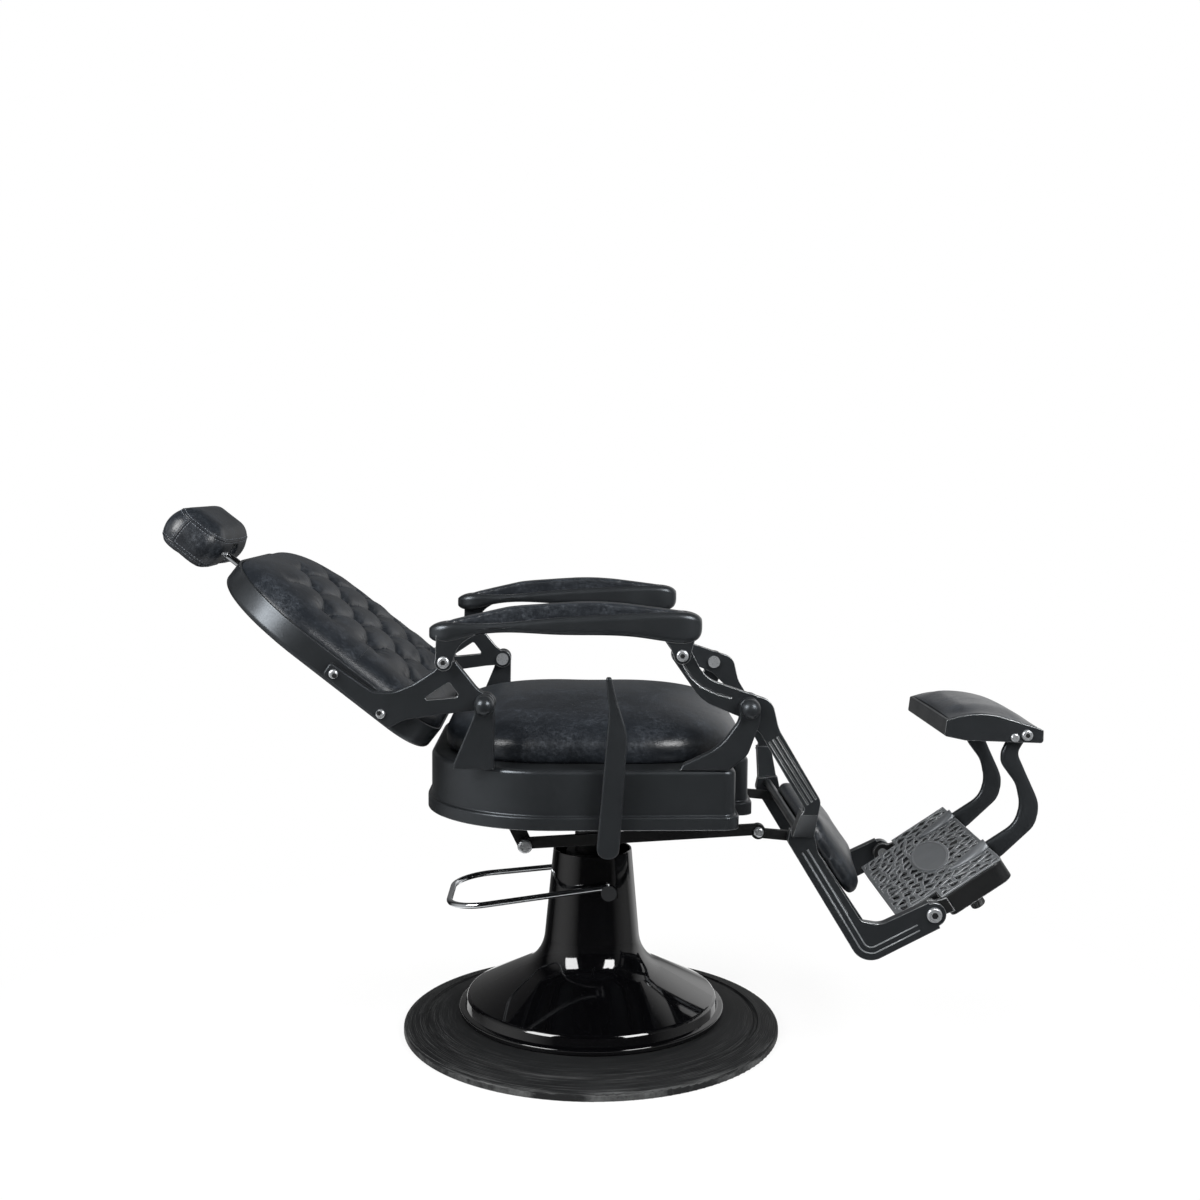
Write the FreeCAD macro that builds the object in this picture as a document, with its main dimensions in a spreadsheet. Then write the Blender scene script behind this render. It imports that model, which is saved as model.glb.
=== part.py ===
import FreeCAD, Part
import Sketcher
import math
import os
import re

# Barber chair: round pedestal, hydraulic column, swivelling seat, reclining back,
# linked leg rest and armrests, height-adjustable headrest and folding foot rest.
# Origin at the centre of the base on the floor, +Z up, +X to the front of the chair.
# The right-hand side of the sitter is -Y. Lengths are millimetres, angles degrees.

SIZES = {
    # Fits
    "running_clearance": 0.05,
    "side_clearance": 0.5,
    "soft_clearance": 0.3,
    "edge_round": 2.5,
    # Base and bell
    "base_radius": 320,
    "base_edge_height": 13,
    "base_step_radius": 283,
    "base_step_height": 21,
    "base_ring_height": 33,
    "base_ring_bore": 224,
    "base_plate_height": 16,
    "bell_lip_radius": 226,
    "bell_lip_height": 8,
    "bell_shoulder_radius": 212,
    "bell_shoulder_height": 60,
    "bell_waist_radius": 84,
    "bell_waist_height": 124,
    "bell_sweep": 70,
    "bell_neck_radius": 66.5,
    "bell_height": 311,
    "bell_wall": 3,
    # Hydraulic column
    "ram_radius": 30,
    "cylinder_wall": 6,
    "cylinder_height": 296,
    "cylinder_floor": 14,
    "cylinder_flange_radius": 60,
    "piston_gap": 2,
    "piston_length": 20,
    "gland_radius": 45,
    "gland_height": 12,
    "ram_shoulder_height": 372,
    "spindle_radius": 20,
    "bearing_radius": 36,
    "bearing_height": 8,
    "swivel_radius": 48,
    "swivel_flange_radius": 95,
    "swivel_flange_height": 10,
    # Pump lever
    "pump_pivot_x": 26,
    "pump_pivot_height": 255,
    "pump_hub_radius": 8,
    "pump_boss_radius": 13,
    "pump_boss_width": 12,
    "pump_lever_reach": 267,
    "pump_lever_half_width": 104,
    "pump_lever_round": 60,
    "pump_rod_radius": 5,
    "pump_rod_rise": 9,
    "pump_lever_slope": 7,
    # Seat
    "deck_height": 503,
    "deck_thickness": 4,
    "skirt_depth": 90,
    "skirt_wall": 5,
    "skirt_lip_height": 20,
    "skirt_lip_reach": 6,
    "seat_rear": 262,
    "seat_half_width": 308,
    "seat_front_half_width": 294,
    "seat_front": 211,
    "seat_bulge_front": 242,
    "seat_bulge_half_width": 196,
    "seat_rear_round": 195,
    "frame_height": 29,
    "frame_half_width": 125,
    "frame_front": 195,
    "frame_rear": 215,
    "frame_bar": 24,
    "cushion_height": 86,
    "cushion_half_width": 252,
    "cushion_front": 234,
    "cushion_rear": 240,
    # Main pivots: back on the rear posts, leg rest on the front posts
    "rear_pivot_x": -167,
    "rear_pivot_height": 601,
    "front_pivot_x": 229,
    "front_pivot_height": 598,
    "arm_rear_pivot_x": -228,
    "arm_rear_pivot_height": 664,
    "arm_front_pivot_x": 127,
    "arm_front_pivot_height": 676,
    "pivot_pin_radius": 6,
    "arm_pin_radius": 5,
    "screw_radius": 3,
    "open_pivot_gap": 1.2,
    "bracket_inner": 266,
    "bracket_thickness": 16,
    "post_thickness": 15,
    "ball_radius": 15,
    "ball_length": 24,
    # Back, measured from the rear pivot along and square to the reclined back
    "back_slope": 38,
    "back_bottom": 25,
    "back_top": 440,
    "back_plane": 126,
    "back_rim": 40,
    "back_wall": 4,
    "back_top_round": 170,
    "back_bottom_round": 70,
    "back_board_thickness": 10,
    "back_cushion_height": 48,
    "tuft_pitch_along": 62,
    "tuft_pitch_across": 92,
    "tuft_depth": 20,
    "tuft_hollow_radius": 13,
    "tuft_pleat_width": 24,
    "tuft_pleat_depth": 14,
    "tuft_taper": 18,
    # Headrest
    "head_post_radius": 6,
    "head_post_plane": 114,
    "head_guide_height": 18,
    "head_guide_half_width": 16,
    "head_pivot_along": 496,
    "head_post_length": 218,
    "head_guide_length": 140,
    "head_half_width": 111,
    "head_length": 102,
    "head_thickness": 76,
    "knuckle_radius": 9,
    "knuckle_half_width": 12,
    "knuckle_pin_radius": 4,
    "ear_thickness": 4,
    # Armrests
    "arm_centre": 276,
    "arm_half_width": 28,
    "arm_pad_half_width": 20,
    "arm_pad_floor": 719,
    # Leg rest
    "rail_inner": 194,
    "rail_thickness": 16,
    "eye_x": 536,
    "eye_height": 257,
    "eye_radius": 19,
    "leg_bar_radius": 8,
    "groove_depth": 1.2,
    "calf_top_x": 330,
    "calf_top_height": 388,
    "calf_slope": 56,
    "calf_length": 158,
    "calf_tab": 26,
    "calf_panel_thickness": 8,
    "calf_curl_radius": 7,
    "calf_pad_height": 41,
    "calf_pad_half_width": 150,
    # Recline link
    "link_front_x": 262,
    "link_front_height": 378,
    "link_rear_x": -110,
    "link_rear_height": 354,
    "crank_x": -172,
    "crank_height": 482,
    "crank_shaft_radius": 6,
    "link_inner": 150,
    "link_thickness": 7,
    "link_half_height": 9,
    "link_rise": 4,
    "link_bolt_radius": 4,
    "link_slack": 3.2,
    # Recline lever
    "lever_x": 17,
    "lever_height": 391,
    "lever_shaft_radius": 8,
    "lever_inner": 313,
    "lever_thickness": 12,
    # Foot rest
    "foot_slope": 34,
    "foot_half_width": 185,
    "foot_neck_half_width": 150,
    "foot_plate_thickness": 6,
    "foot_top": 6,
    "foot_apron": 34,
    "foot_neck_depth": 16,
    "foot_wall": 6,
    "foot_pin_radius": 8,
    "foot_lug_radius": 17,
    "foot_inner_end": 49,
    "foot_outer_end": 140,
    "foot_shoulder": 25,
    "medallion_radius": 31,
    "foot_arm_inner": 98,
    "foot_arm_thickness": 14,
    "pad_pivot_x": 699,
    "pad_pivot_height": 530,
    "pad_half_width": 130,
    "pad_pin_radius": 5,
}

doc = FreeCAD.newDocument("barber_chair")
sheet = doc.addObject("Spreadsheet::Sheet", "Sizes")
for row, (alias, value) in enumerate(SIZES.items(), start=1):
    sheet.set(f"A{row}", alias)
    sheet.set(f"B{row}", str(value))
    sheet.setAlias(f"B{row}", alias)
doc.recompute()

WORD = re.compile(r"[a-z][a-z0-9_]*")
SIDES = {"right": 1, "left": -1}
nodes = []


def bound(text):
    """Expression in which every size is a cell of the sheet."""
    def cell(word):
        return f"Sizes.{word.group()}" if word.group() in SIZES else word.group()
    return WORD.sub(cell, str(text))


def number(text):
    """Present value of an expression."""
    return float(sheet.evalExpression(str(text)))


def shifted(base, offset):
    """A coordinate given as an expression, or as an offset from a base expression."""
    return offset if isinstance(offset, str) else f"{base} + {offset}"


def new_body(label, x="0", z="0", tilt="0"):
    """Body whose frame stands at (x, 0, z), turned about Y by the tilt."""
    body = doc.addObject("PartDesign::Body", label)
    body.Label = label
    body.Placement = FreeCAD.Placement(FreeCAD.Vector(), FreeCAD.Rotation(FreeCAD.Vector(0, 1, 0), 1))
    body.setExpression("Placement.Base.x", bound(x))
    body.setExpression("Placement.Base.z", bound(z))
    body.setExpression("Placement.Rotation.Angle", bound(tilt))
    nodes.append(body)
    return body


def new_sketch(body, role, offset="0"):
    """Sketch on one of the body's origin planes, moved along the plane's normal."""
    sketch = body.newObject("Sketcher::SketchObject", "Sketch")
    plane = next(feature for feature in body.Origin.OriginFeatures if feature.Role == role)
    sketch.AttachmentSupport = [(plane, "")]
    sketch.MapMode = "FlatFace"
    sketch.setExpression("AttachmentOffset.Base.z", bound(offset))
    return sketch


def constrain(sketch, kind, expression, *where):
    """Dimension bound to an expression."""
    index = sketch.addConstraint(Sketcher.Constraint(kind, *where, number(expression)))
    sketch.setExpression(f"Constraints[{index}]", bound(expression))


def fix_point(sketch, geometry, position, x, y):
    constrain(sketch, "DistanceX", x, -1, 1, geometry, position)
    constrain(sketch, "DistanceY", y, -1, 1, geometry, position)


def trace(sketch, corners, base=("0", "0"), closed=True):
    """Straight sides through the corners (x, y, radius); a radius makes a tangent arc there."""
    words = [(shifted(base[0], corner[0]), shifted(base[1], corner[1])) for corner in corners]
    places = [FreeCAD.Vector(number(x), number(y), 0) for x, y in words]
    radii = [corner[2] if len(corner) > 2 else None for corner in corners]
    count = len(corners)
    arrive, leave, middle = [], [], []
    for i, place in enumerate(places):
        back = (places[i - 1] - place).normalize()
        ahead = (places[(i + 1) % count] - place).normalize()
        half = back.getAngle(ahead) / 2
        radius = number(radii[i]) if radii[i] else 0
        reach = radius / math.tan(half)
        arrive.append(place + back * reach)
        leave.append(place + ahead * reach)
        inward = back + ahead
        if radius:
            inward.normalize()
            middle.append(place + inward * (radius / math.sin(half) - radius))
        else:
            middle.append(place)
    sides = []
    for i in range(count if closed else count - 1):
        sides.append(sketch.addGeometry(Part.LineSegment(leave[i], arrive[(i + 1) % count])))
    for i, (x, y) in enumerate(words):
        last, following = i - 1, i
        if not closed and i == 0:
            fix_point(sketch, sides[0], 1, x, y)
            continue
        if not closed and i == count - 1:
            fix_point(sketch, sides[-1], 2, x, y)
            continue
        if not radii[i]:
            sketch.addConstraint(Sketcher.Constraint("Coincident", sides[last], 2, sides[following], 1))
            fix_point(sketch, sides[following], 1, x, y)
            continue
        arc = sketch.addGeometry(Part.Arc(arrive[i], middle[i], leave[i]))
        point = sketch.addGeometry(Part.Point(places[i]), True)
        ends = [sketch.getPoint(arc, end).distanceToPoint(arrive[i]) for end in (1, 2)]
        entry, leaving = (1, 2) if ends[0] < ends[1] else (2, 1)
        sketch.addConstraint(Sketcher.Constraint("Tangent", sides[last], 2, arc, entry))
        sketch.addConstraint(Sketcher.Constraint("Tangent", sides[following], 1, arc, leaving))
        sketch.addConstraint(Sketcher.Constraint("PointOnObject", point, 1, sides[last]))
        sketch.addConstraint(Sketcher.Constraint("PointOnObject", point, 1, sides[following]))
        fix_point(sketch, point, 1, x, y)
        constrain(sketch, "Radius", radii[i], arc)


def add_circle(sketch, x, y, radius):
    centre = FreeCAD.Vector(number(x), number(y), 0)
    circle = sketch.addGeometry(Part.Circle(centre, FreeCAD.Vector(0, 0, 1), number(radius)))
    fix_point(sketch, circle, 3, x, y)
    constrain(sketch, "Radius", radius, circle)


def extrude(body, sketch, length, kind="Pad"):
    feature = body.newObject(f"PartDesign::{kind}", kind)
    feature.Profile = sketch
    feature.setExpression("Length", bound(length))
    sketch.Visibility = False
    return feature


def turn(body, corners, base=("0", "0")):
    """Solid of revolution about the body's Z axis from a profile of (radius, height) corners."""
    sketch = new_sketch(body, "XZ_Plane")
    trace(sketch, corners, base)
    feature = body.newObject("PartDesign::Revolution", "Revolution")
    feature.Profile = sketch
    feature.ReferenceAxis = (sketch, ["V_Axis"])
    feature.Angle = 360
    return feature


def span(inner, outer, sign):
    """Start and length of an extrusion between two distances from the middle plane, on one side."""
    start = inner if sign > 0 else f"-({outer})"
    return start, f"({outer}) - ({inner})"


def plate(body, corners, inner, outer, sign, base=("0", "0"), holes=(), kind="Pad"):
    """Upright plate between two distances from the middle plane, with round holes (x, z, radius)."""
    start, length = span(inner, outer, sign)
    sketch = new_sketch(body, "XZ_Plane", start)
    trace(sketch, corners, base)
    for hole in holes:
        add_circle(sketch, *hole)
    feature = extrude(body, sketch, length, kind)
    feature.Reversed = kind == "Pocket"
    return feature


def rod(body, places, radius, inner, outer, sign, kind="Pad"):
    """Round bars or bores along Y at the places (x, z), between two distances from the middle plane."""
    start, length = span(inner, outer, sign)
    sketch = new_sketch(body, "XZ_Plane", start)
    for x, z in places:
        add_circle(sketch, x, z, radius)
    feature = extrude(body, sketch, length, kind)
    feature.Reversed = kind == "Pocket"
    return feature


def slab(body, corners, bottom, height, kind="Pad", base=("0", "0")):
    """Level plate from its plan outline."""
    sketch = new_sketch(body, "XY_Plane", bottom)
    trace(sketch, corners, base)
    feature = extrude(body, sketch, height, kind)
    feature.Reversed = kind == "Pocket"
    return feature


def soften(body, radius, chosen):
    """Round the edges of the last feature that the test picks."""
    doc.recompute()
    tip = body.Tip
    names = [f"Edge{i}" for i, edge in enumerate(tip.Shape.Edges, start=1) if chosen(edge)]
    fillet = body.newObject("PartDesign::Fillet", "Fillet")
    fillet.Base = (tip, names)
    fillet.setExpression("Radius", bound(radius))
    return fillet


def on_face(distance, sign, axis=1):
    """Test for open edges that lie in the plane at a distance from the middle plane."""
    level = -sign * number(distance)

    def test(edge):
        return not edge.Closed and all(abs(point[axis] - level) < 1e-4 for point in edge.discretize(3))
    return test


def rim_at(level, axis=2):
    """Test for edges at a level in the body's own frame."""
    height = number(level)
    return lambda edge: all(abs(point[axis] - height) < 1e-4 for point in edge.discretize(3))


def rounded_box(half_x, half_y, radius):
    """Plan corners of a rectangle about the origin, each with a radius."""
    return [(f"-({half_x})", f"-({half_y})", radius), (half_x, f"-({half_y})", radius),
            (half_x, half_y, radius), (f"-({half_x})", half_y, radius)]


def stack(body, outlines):
    """Smooth loft through plan outlines, each a (height, corners) pair."""
    sketches = []
    for height, corners in outlines:
        sketch = new_sketch(body, "XY_Plane", height)
        trace(sketch, corners)
        sketches.append(sketch)
    loft = body.newObject("PartDesign::AdditiveLoft", "Loft")
    loft.Profile = sketches[0]
    loft.Sections = sketches[1:]
    return loft


# How the seat cushion draws in: share of its height, insets from the widest line along and across
SEAT_CROWN = ((0, 5, 5), (0.22, 0, 0), (0.46, 9, 10), (0.66, 32, 36), (0.8, 62, 76), (0.9, 106, 126),
              (0.97, 156, 176), (1, 196, 212))


def padded(body, half_x, half_y, radius, bottom, height, crown, least_round=6):
    """Cushion with drawn-in foot, full sides and a crown, about the body's own origin."""
    outlines = []
    for share, inset_x, inset_y in crown:
        corner = f"max({radius} - {inset_y}; {least_round})"
        outlines.append((f"{bottom} + {share} * ({height})",
                         rounded_box(f"{half_x} - {inset_x}", f"{half_y} - {inset_y}", corner)))
    return stack(body, outlines)


# Base: steel plate, rubber ring round it and the bell cover standing on the plate
base_plate = new_body("base_plate")
turn(base_plate, [("0", "0"), ("base_ring_bore - running_clearance", "0"),
                  ("base_ring_bore - running_clearance", "base_plate_height"), ("0", "base_plate_height")])

base_ring = new_body("base_ring")
turn(base_ring, [("base_ring_bore", "0"), ("base_radius", "0", "3"),
                 ("base_radius", "base_edge_height", "5"), ("base_step_radius + 3", "base_step_height"),
                 ("base_step_radius", "base_step_height - 3"),
                 ("base_step_radius - 4", "base_step_height - 3"),
                 ("base_step_radius - 7", "base_step_height + 1"), ("base_ring_bore", "base_ring_height")])

bell_foot = "bell_lip_radius - 6"
lip_bottom = "base_ring_height + 1"
lip_top = "base_ring_height + 1 + bell_lip_height"
pedestal_bell = new_body("pedestal_bell")
turn(pedestal_bell, [
    (bell_foot, "base_plate_height"), (bell_foot, lip_bottom), ("bell_lip_radius", lip_bottom, "1.5"),
    ("bell_lip_radius", lip_top, "2.5"), ("bell_shoulder_radius + 5", f"{lip_top} + 2"),
    ("bell_shoulder_radius", "bell_shoulder_height", "9"),
    ("bell_waist_radius", "bell_waist_height", "bell_sweep"),
    ("bell_neck_radius", "bell_height", "1"), ("bell_neck_radius - bell_wall", "bell_height", "1"),
    ("bell_waist_radius - bell_wall", "bell_waist_height - bell_wall", "bell_sweep"),
    ("bell_shoulder_radius - bell_wall", "bell_shoulder_height - bell_wall", "6"),
    (f"{bell_foot} - bell_wall", "base_plate_height")])
pump_axis = [("pump_pivot_x", "pump_pivot_height")]
for sign in SIDES.values():
    rod(pedestal_bell, pump_axis, "pump_hub_radius + 1", "0", "bell_neck_radius + 20", sign, "Pocket")

# Hydraulic column: cylinder on the base plate, gland, ram with its spindle, thrust bearing
cylinder_bore = "ram_radius + piston_gap"
cylinder_outer = "ram_radius + piston_gap + cylinder_wall"
flange_top = "base_plate_height + 10"
floor_top = "base_plate_height + cylinder_floor"
frame_bottom = "deck_height - deck_thickness - frame_height"
pump_cylinder = new_body("pump_cylinder")
turn(pump_cylinder, [("0", "base_plate_height"), ("cylinder_flange_radius", "base_plate_height"),
                     ("cylinder_flange_radius", flange_top, "2"), (cylinder_outer, flange_top, "3"),
                     (cylinder_outer, "cylinder_height"), (cylinder_bore, "cylinder_height"),
                     (cylinder_bore, floor_top), ("0", floor_top)])

cylinder_gland = new_body("cylinder_gland")
gland_top = "cylinder_height + gland_height"
gland_bore = "ram_radius + running_clearance"
turn(cylinder_gland, [(gland_bore, "cylinder_height"), ("gland_radius", "cylinder_height"),
                      ("gland_radius", gland_top, "3"), (gland_bore, gland_top)])

pump_ram = new_body("pump_ram")
ram_bottom = f"{floor_top} + 16"
piston_top = f"{ram_bottom} + piston_length"
piston_radius = f"{cylinder_bore} - running_clearance"
spindle_top = f"{frame_bottom} - swivel_flange_height - 8"
turn(pump_ram, [("0", ram_bottom), (piston_radius, ram_bottom), (piston_radius, piston_top),
                ("ram_radius", piston_top), ("ram_radius", "ram_shoulder_height"),
                ("spindle_radius", "ram_shoulder_height"), ("spindle_radius", spindle_top, "2"),
                ("0", spindle_top)])

swivel_bearing = new_body("swivel_bearing")
bearing_bore = "spindle_radius + running_clearance"
bearing_top = "ram_shoulder_height + bearing_height"
turn(swivel_bearing, [(bearing_bore, "ram_shoulder_height"), ("bearing_radius", "ram_shoulder_height", "1"),
                      ("bearing_radius", f"{bearing_top} - running_clearance", "1"),
                      (bearing_bore, f"{bearing_top} - running_clearance")])

swivel_housing = new_body("swivel_housing")
flange_bottom = f"{frame_bottom} - swivel_flange_height"
turn(swivel_housing, [(bearing_bore, bearing_top), ("swivel_radius", bearing_top, "3"),
                      ("swivel_radius", flange_bottom, "6"), ("swivel_flange_radius", flange_bottom, "2"),
                      ("swivel_flange_radius", frame_bottom), ("0", frame_bottom),
                      ("0", f"{spindle_top} + 1"), (bearing_bore, f"{spindle_top} + 1")])

# Pump lever: a bent rod whose two bosses turn in blocks beside the cylinder
block_half = 12
block_outer = "cylinder_flange_radius - 10"
hub_end = f"{cylinder_outer} + 1"
pump_blocks = new_body("pump_blocks")
for sign in SIDES.values():
    plate(pump_blocks, [(-block_half, -16), (block_half, -16), (block_half, 16), (-block_half, 16)],
          "cylinder_flange_radius - 35", block_outer, sign, pump_axis[0])
core = new_sketch(pump_blocks, "XY_Plane", "pump_pivot_height - 17")
add_circle(core, "0", "0", cylinder_outer)
extrude(pump_blocks, core, "34", "Pocket").Reversed = True
for sign in SIDES.values():
    rod(pump_blocks, pump_axis, "pump_hub_radius + running_clearance", f"{hub_end} - 0.5",
        f"{block_outer} + 1", sign, "Pocket")

boss_inner = "bell_neck_radius + 10"
boss_outer = f"{boss_inner} + pump_boss_width"
rod_start = f"{boss_inner} + pump_boss_width / 2"
pump_lever = new_body("pump_lever", "pump_pivot_x", "pump_pivot_height", "-pump_lever_slope")
for sign in SIDES.values():
    rod(pump_lever, [("0", "0")], "pump_hub_radius", hub_end, boss_outer, sign)
    rod(pump_lever, [("0", "0")], "pump_boss_radius", boss_inner, boss_outer, sign)
bend = new_sketch(pump_lever, "XY_Plane", "pump_rod_rise")
trace(bend, [("0", f"-({rod_start})"), ("-pump_lever_reach", "-pump_lever_half_width", "pump_lever_round"),
             ("-pump_lever_reach", "pump_lever_half_width", "pump_lever_round"), ("0", rod_start)],
      closed=False)
rod_end = new_sketch(pump_lever, "YZ_Plane")
add_circle(rod_end, f"-({rod_start})", "pump_rod_rise", "pump_rod_radius")
bent_rod = pump_lever.newObject("PartDesign::AdditivePipe", "Rod")
bent_rod.Profile = rod_end
doc.recompute()
bent_rod.Spine = (bend, [f"Edge{i}" for i in range(1, len(bend.Shape.Edges) + 1)])


def seat_plan(grow):
    """Plan of the seat with its rounded rear and stepped front, grown outwards by a distance."""
    half = [(f"-(seat_rear + {grow})", f"seat_half_width + {grow}", f"seat_rear_round + {grow}"),
            (f"seat_front + {grow}", f"seat_front_half_width + {grow}", f"18 + {grow}"),
            (f"seat_front + {grow}", f"seat_bulge_half_width + {grow}", "4"),
            (f"seat_bulge_front + {grow}", f"seat_bulge_half_width + {grow}", "22")]
    other = [(x, f"-({y})", radius) for x, y, radius in reversed(half)]
    return half + other


# Seat: skirt as an inverted tray, steel frame under its deck, crowned cushion on top
skirt_bottom = "deck_height - skirt_depth"
seat_skirt = new_body("seat_skirt")
slab(seat_skirt, seat_plan("skirt_lip_reach"), skirt_bottom, "skirt_lip_height")
slab(seat_skirt, seat_plan("0"), f"{skirt_bottom} + skirt_lip_height", "skirt_depth - skirt_lip_height")
slab(seat_skirt, seat_plan("-skirt_wall"), skirt_bottom, "skirt_depth - deck_thickness", "Pocket")
soften(seat_skirt, "7", rim_at("deck_height"))
soften(seat_skirt, "2.5", rim_at(f"{skirt_bottom} + skirt_lip_height"))

seat_frame = new_body("seat_frame")
frame_plan = new_sketch(seat_frame, "XY_Plane", frame_bottom)
trace(frame_plan, [("-frame_rear", "-frame_half_width", "12"), ("frame_front", "-frame_half_width", "12"),
                   ("frame_front", "frame_half_width", "12"), ("-frame_rear", "frame_half_width", "12")])
window_side = "frame_half_width - frame_bar"
for near, far in (("swivel_flange_radius - 25", "frame_front - frame_bar"),
                  ("frame_bar - frame_rear", "25 - swivel_flange_radius")):
    trace(frame_plan, [(near, f"-({window_side})", "8"), (far, f"-({window_side})", "8"),
                       (far, window_side, "8"), (near, window_side, "8")])
extrude(seat_frame, frame_plan, "frame_height")
crank_axis = [("crank_x", "crank_height")]
for sign in SIDES.values():
    rod(seat_frame, crank_axis, "crank_shaft_radius + running_clearance", f"{window_side} - 1",
        "frame_half_width + 1", sign, "Pocket")

cushion_middle = "(cushion_front - cushion_rear) / 2"
seat_cushion = new_body("seat_cushion", cushion_middle, "deck_height")
padded(seat_cushion, "(cushion_front + cushion_rear) / 2", "cushion_half_width", "165", "0", "cushion_height",
       SEAT_CROWN)

# Posts on the deck, each with a pivot pin and a ball cap on its outer face
pivots = {"rear": ("rear_pivot_x", "rear_pivot_height"), "front": ("front_pivot_x", "front_pivot_height")}
post_inner = "bracket_inner + bracket_thickness + side_clearance"
post_outer = f"{post_inner} + post_thickness"
post_forms = {
    "rear": [(-15, 15, "14.9"), (15, 15, "14.9"), (14, "deck_height"), (-47, "deck_height", "1"),
             (-46, "deck_height + 9", "6"), (-15, -14, "24")],
    "front": [(-16, 15, "14.9"), (15, 15, "14.9"), (17, -18, "30"), (-2, -72, "30"), (-30, "deck_height"),
              (-104, "deck_height"), (-100, "deck_height + 8", "2"), (-44, -60, "90"), (-14, -18, "30")],
}
for place, pivot in pivots.items():
    for side, sign in SIDES.items():
        post = new_body(f"{place}_post_{side}")
        plate(post, post_forms[place], post_inner, post_outer, sign, pivot, [(*pivot, "pivot_pin_radius")])
        soften(post, "edge_round", on_face(post_outer, sign))

pin_head_outer = "bracket_inner - side_clearance"
pin_head_inner = f"{pin_head_outer} - 6"
pivot_pins = new_body("pivot_pins")
for sign in SIDES.values():
    rod(pivot_pins, pivots.values(), "pivot_pin_radius", pin_head_inner, post_outer, sign)
    rod(pivot_pins, pivots.values(), "pivot_pin_radius + 5", pin_head_inner, pin_head_outer, sign)

pivot_caps = new_body("pivot_caps")
for sign in SIDES.values():
    rod(pivot_caps, pivots.values(), "ball_radius", post_outer, f"{post_outer} + ball_length", sign)
cap_faces = (number(post_outer), number(f"{post_outer} + ball_length"))
soften(pivot_caps, "ball_radius * 0.96", lambda edge: abs(abs(edge.CenterOfMass.y) - cap_faces[1]) < 1e-4)
soften(pivot_caps, "ball_radius * 0.45", lambda edge: abs(abs(edge.CenterOfMass.y) - cap_faces[0]) < 1e-4)

# Recline lever on a shaft under the seat, carried by a block at the frame and a hanger at the skirt
lever_axis = ("lever_x", "lever_height")
lever_outer = "lever_inner + lever_thickness"
shaft_hole = [(*lever_axis, "lever_shaft_radius + running_clearance")]
lever_block = new_body("lever_block")
plate(lever_block, [(-24, -15, "6"), (24, -15, "6"), (24, frame_bottom), (-24, frame_bottom)],
      window_side, "frame_half_width", 1, lever_axis, shaft_hole)
lever_hanger = new_body("lever_hanger")
plate(lever_hanger, [(-13, -13, "12.5"), (13, -13, "12.5"), (18, "deck_height - deck_thickness"),
                     (-18, "deck_height - deck_thickness")], "250", "258", 1, lever_axis, shaft_hole)
recline_lever = new_body("recline_lever")
rod(recline_lever, [lever_axis], "lever_shaft_radius", f"{window_side} - 4", lever_outer, 1)
plate(recline_lever, [(-17, -17, "16"), (17, -17, "16"), (26, 116, "300"), (28, 172, "70"), (13, 218, "90"),
                      (4, 255, "3"), (-4, 255, "3"), (1, 203, "120"), (-6, 116, "160")],
      "lever_inner", lever_outer, 1, lever_axis)
soften(recline_lever, "edge_round", on_face(lever_outer, 1))
soften(recline_lever, "edge_round", on_face("lever_inner", 1))


# Back: pan with a rim, board and guide tube inside it, tufted cushion, side brackets with screws
def back_plan(inset, least_round="8"):
    """Plan of the back in its own plane, drawn in from the pan's outline."""
    side = f"bracket_inner - ({inset})"
    top = f"({inset}) - back_top"
    bottom = f"-(back_bottom + {inset})"
    top_round = f"back_top_round - ({inset})"
    bottom_round = f"max(back_bottom_round - ({inset}); {least_round})"
    return [(top, f"-({side})", top_round), (bottom, f"-({side})", bottom_round),
            (bottom, side, bottom_round), (top, side, top_round)]


def cross_hole(body, start, length, height, radius):
    """Round hole along the body's X axis."""
    sketch = new_sketch(body, "YZ_Plane", start)
    add_circle(sketch, "0", height, radius)
    extrude(body, sketch, length, "Pocket").Reversed = True


hinge = pivots["rear"]
post_plane = "-head_post_plane"
pan_floor = "back_wall - back_plane"
back_shell = new_body("back_shell", *hinge, "back_slope")
slab(back_shell, back_plan("0"), "-back_plane", "back_rim")
slab(back_shell, back_plan("back_wall"), pan_floor, "back_rim", "Pocket")
soften(back_shell, "9", rim_at("-back_plane"))
soften(back_shell, "1.5", rim_at("back_rim - back_plane"))
cross_hole(back_shell, "-back_top - 1", "back_wall + 8", post_plane, "head_post_radius + 1")

guide_top = "back_wall - back_top"
guide_end = f"{guide_top} + head_guide_length"
head_guide = new_body("head_guide", *hinge, "back_slope")
slab(head_guide, [(guide_top, "-head_guide_half_width"), (guide_end, "-head_guide_half_width"),
                  (guide_end, "head_guide_half_width"), (guide_top, "head_guide_half_width")],
     pan_floor, "head_guide_height")
cross_hole(head_guide, f"{guide_top} - 1", "head_guide_length + 2", post_plane,
           "head_post_radius + running_clearance")

board_bottom = f"{pan_floor} + head_guide_height"
back_board = new_body("back_board", *hinge, "back_slope")
slab(back_board, back_plan("back_wall + 2"), board_bottom, "back_board_thickness")

# Back cushion: crowned block with tapering pleats on both diagonals and a button hollow at each crossing
BACK_CROWN = ((0, 4), (0.2, 0), (0.42, 9), (0.62, 30), (0.8, 62), (0.92, 100), (1, 146))
TUFT_ROWS = 5
TUFT_COLUMNS = 4
cushion_bottom = f"{board_bottom} + back_board_thickness"
cushion_top = f"{cushion_bottom} + back_cushion_height"
back_middle = "(back_top + back_bottom) / 2"
back_cushion = new_body("back_cushion", *hinge, "back_slope")
stack(back_cushion, [(f"{cushion_bottom} + {share} * back_cushion_height",
                      back_plan(f"back_wall + soft_clearance + {inset}")) for share, inset in BACK_CROWN])


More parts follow.
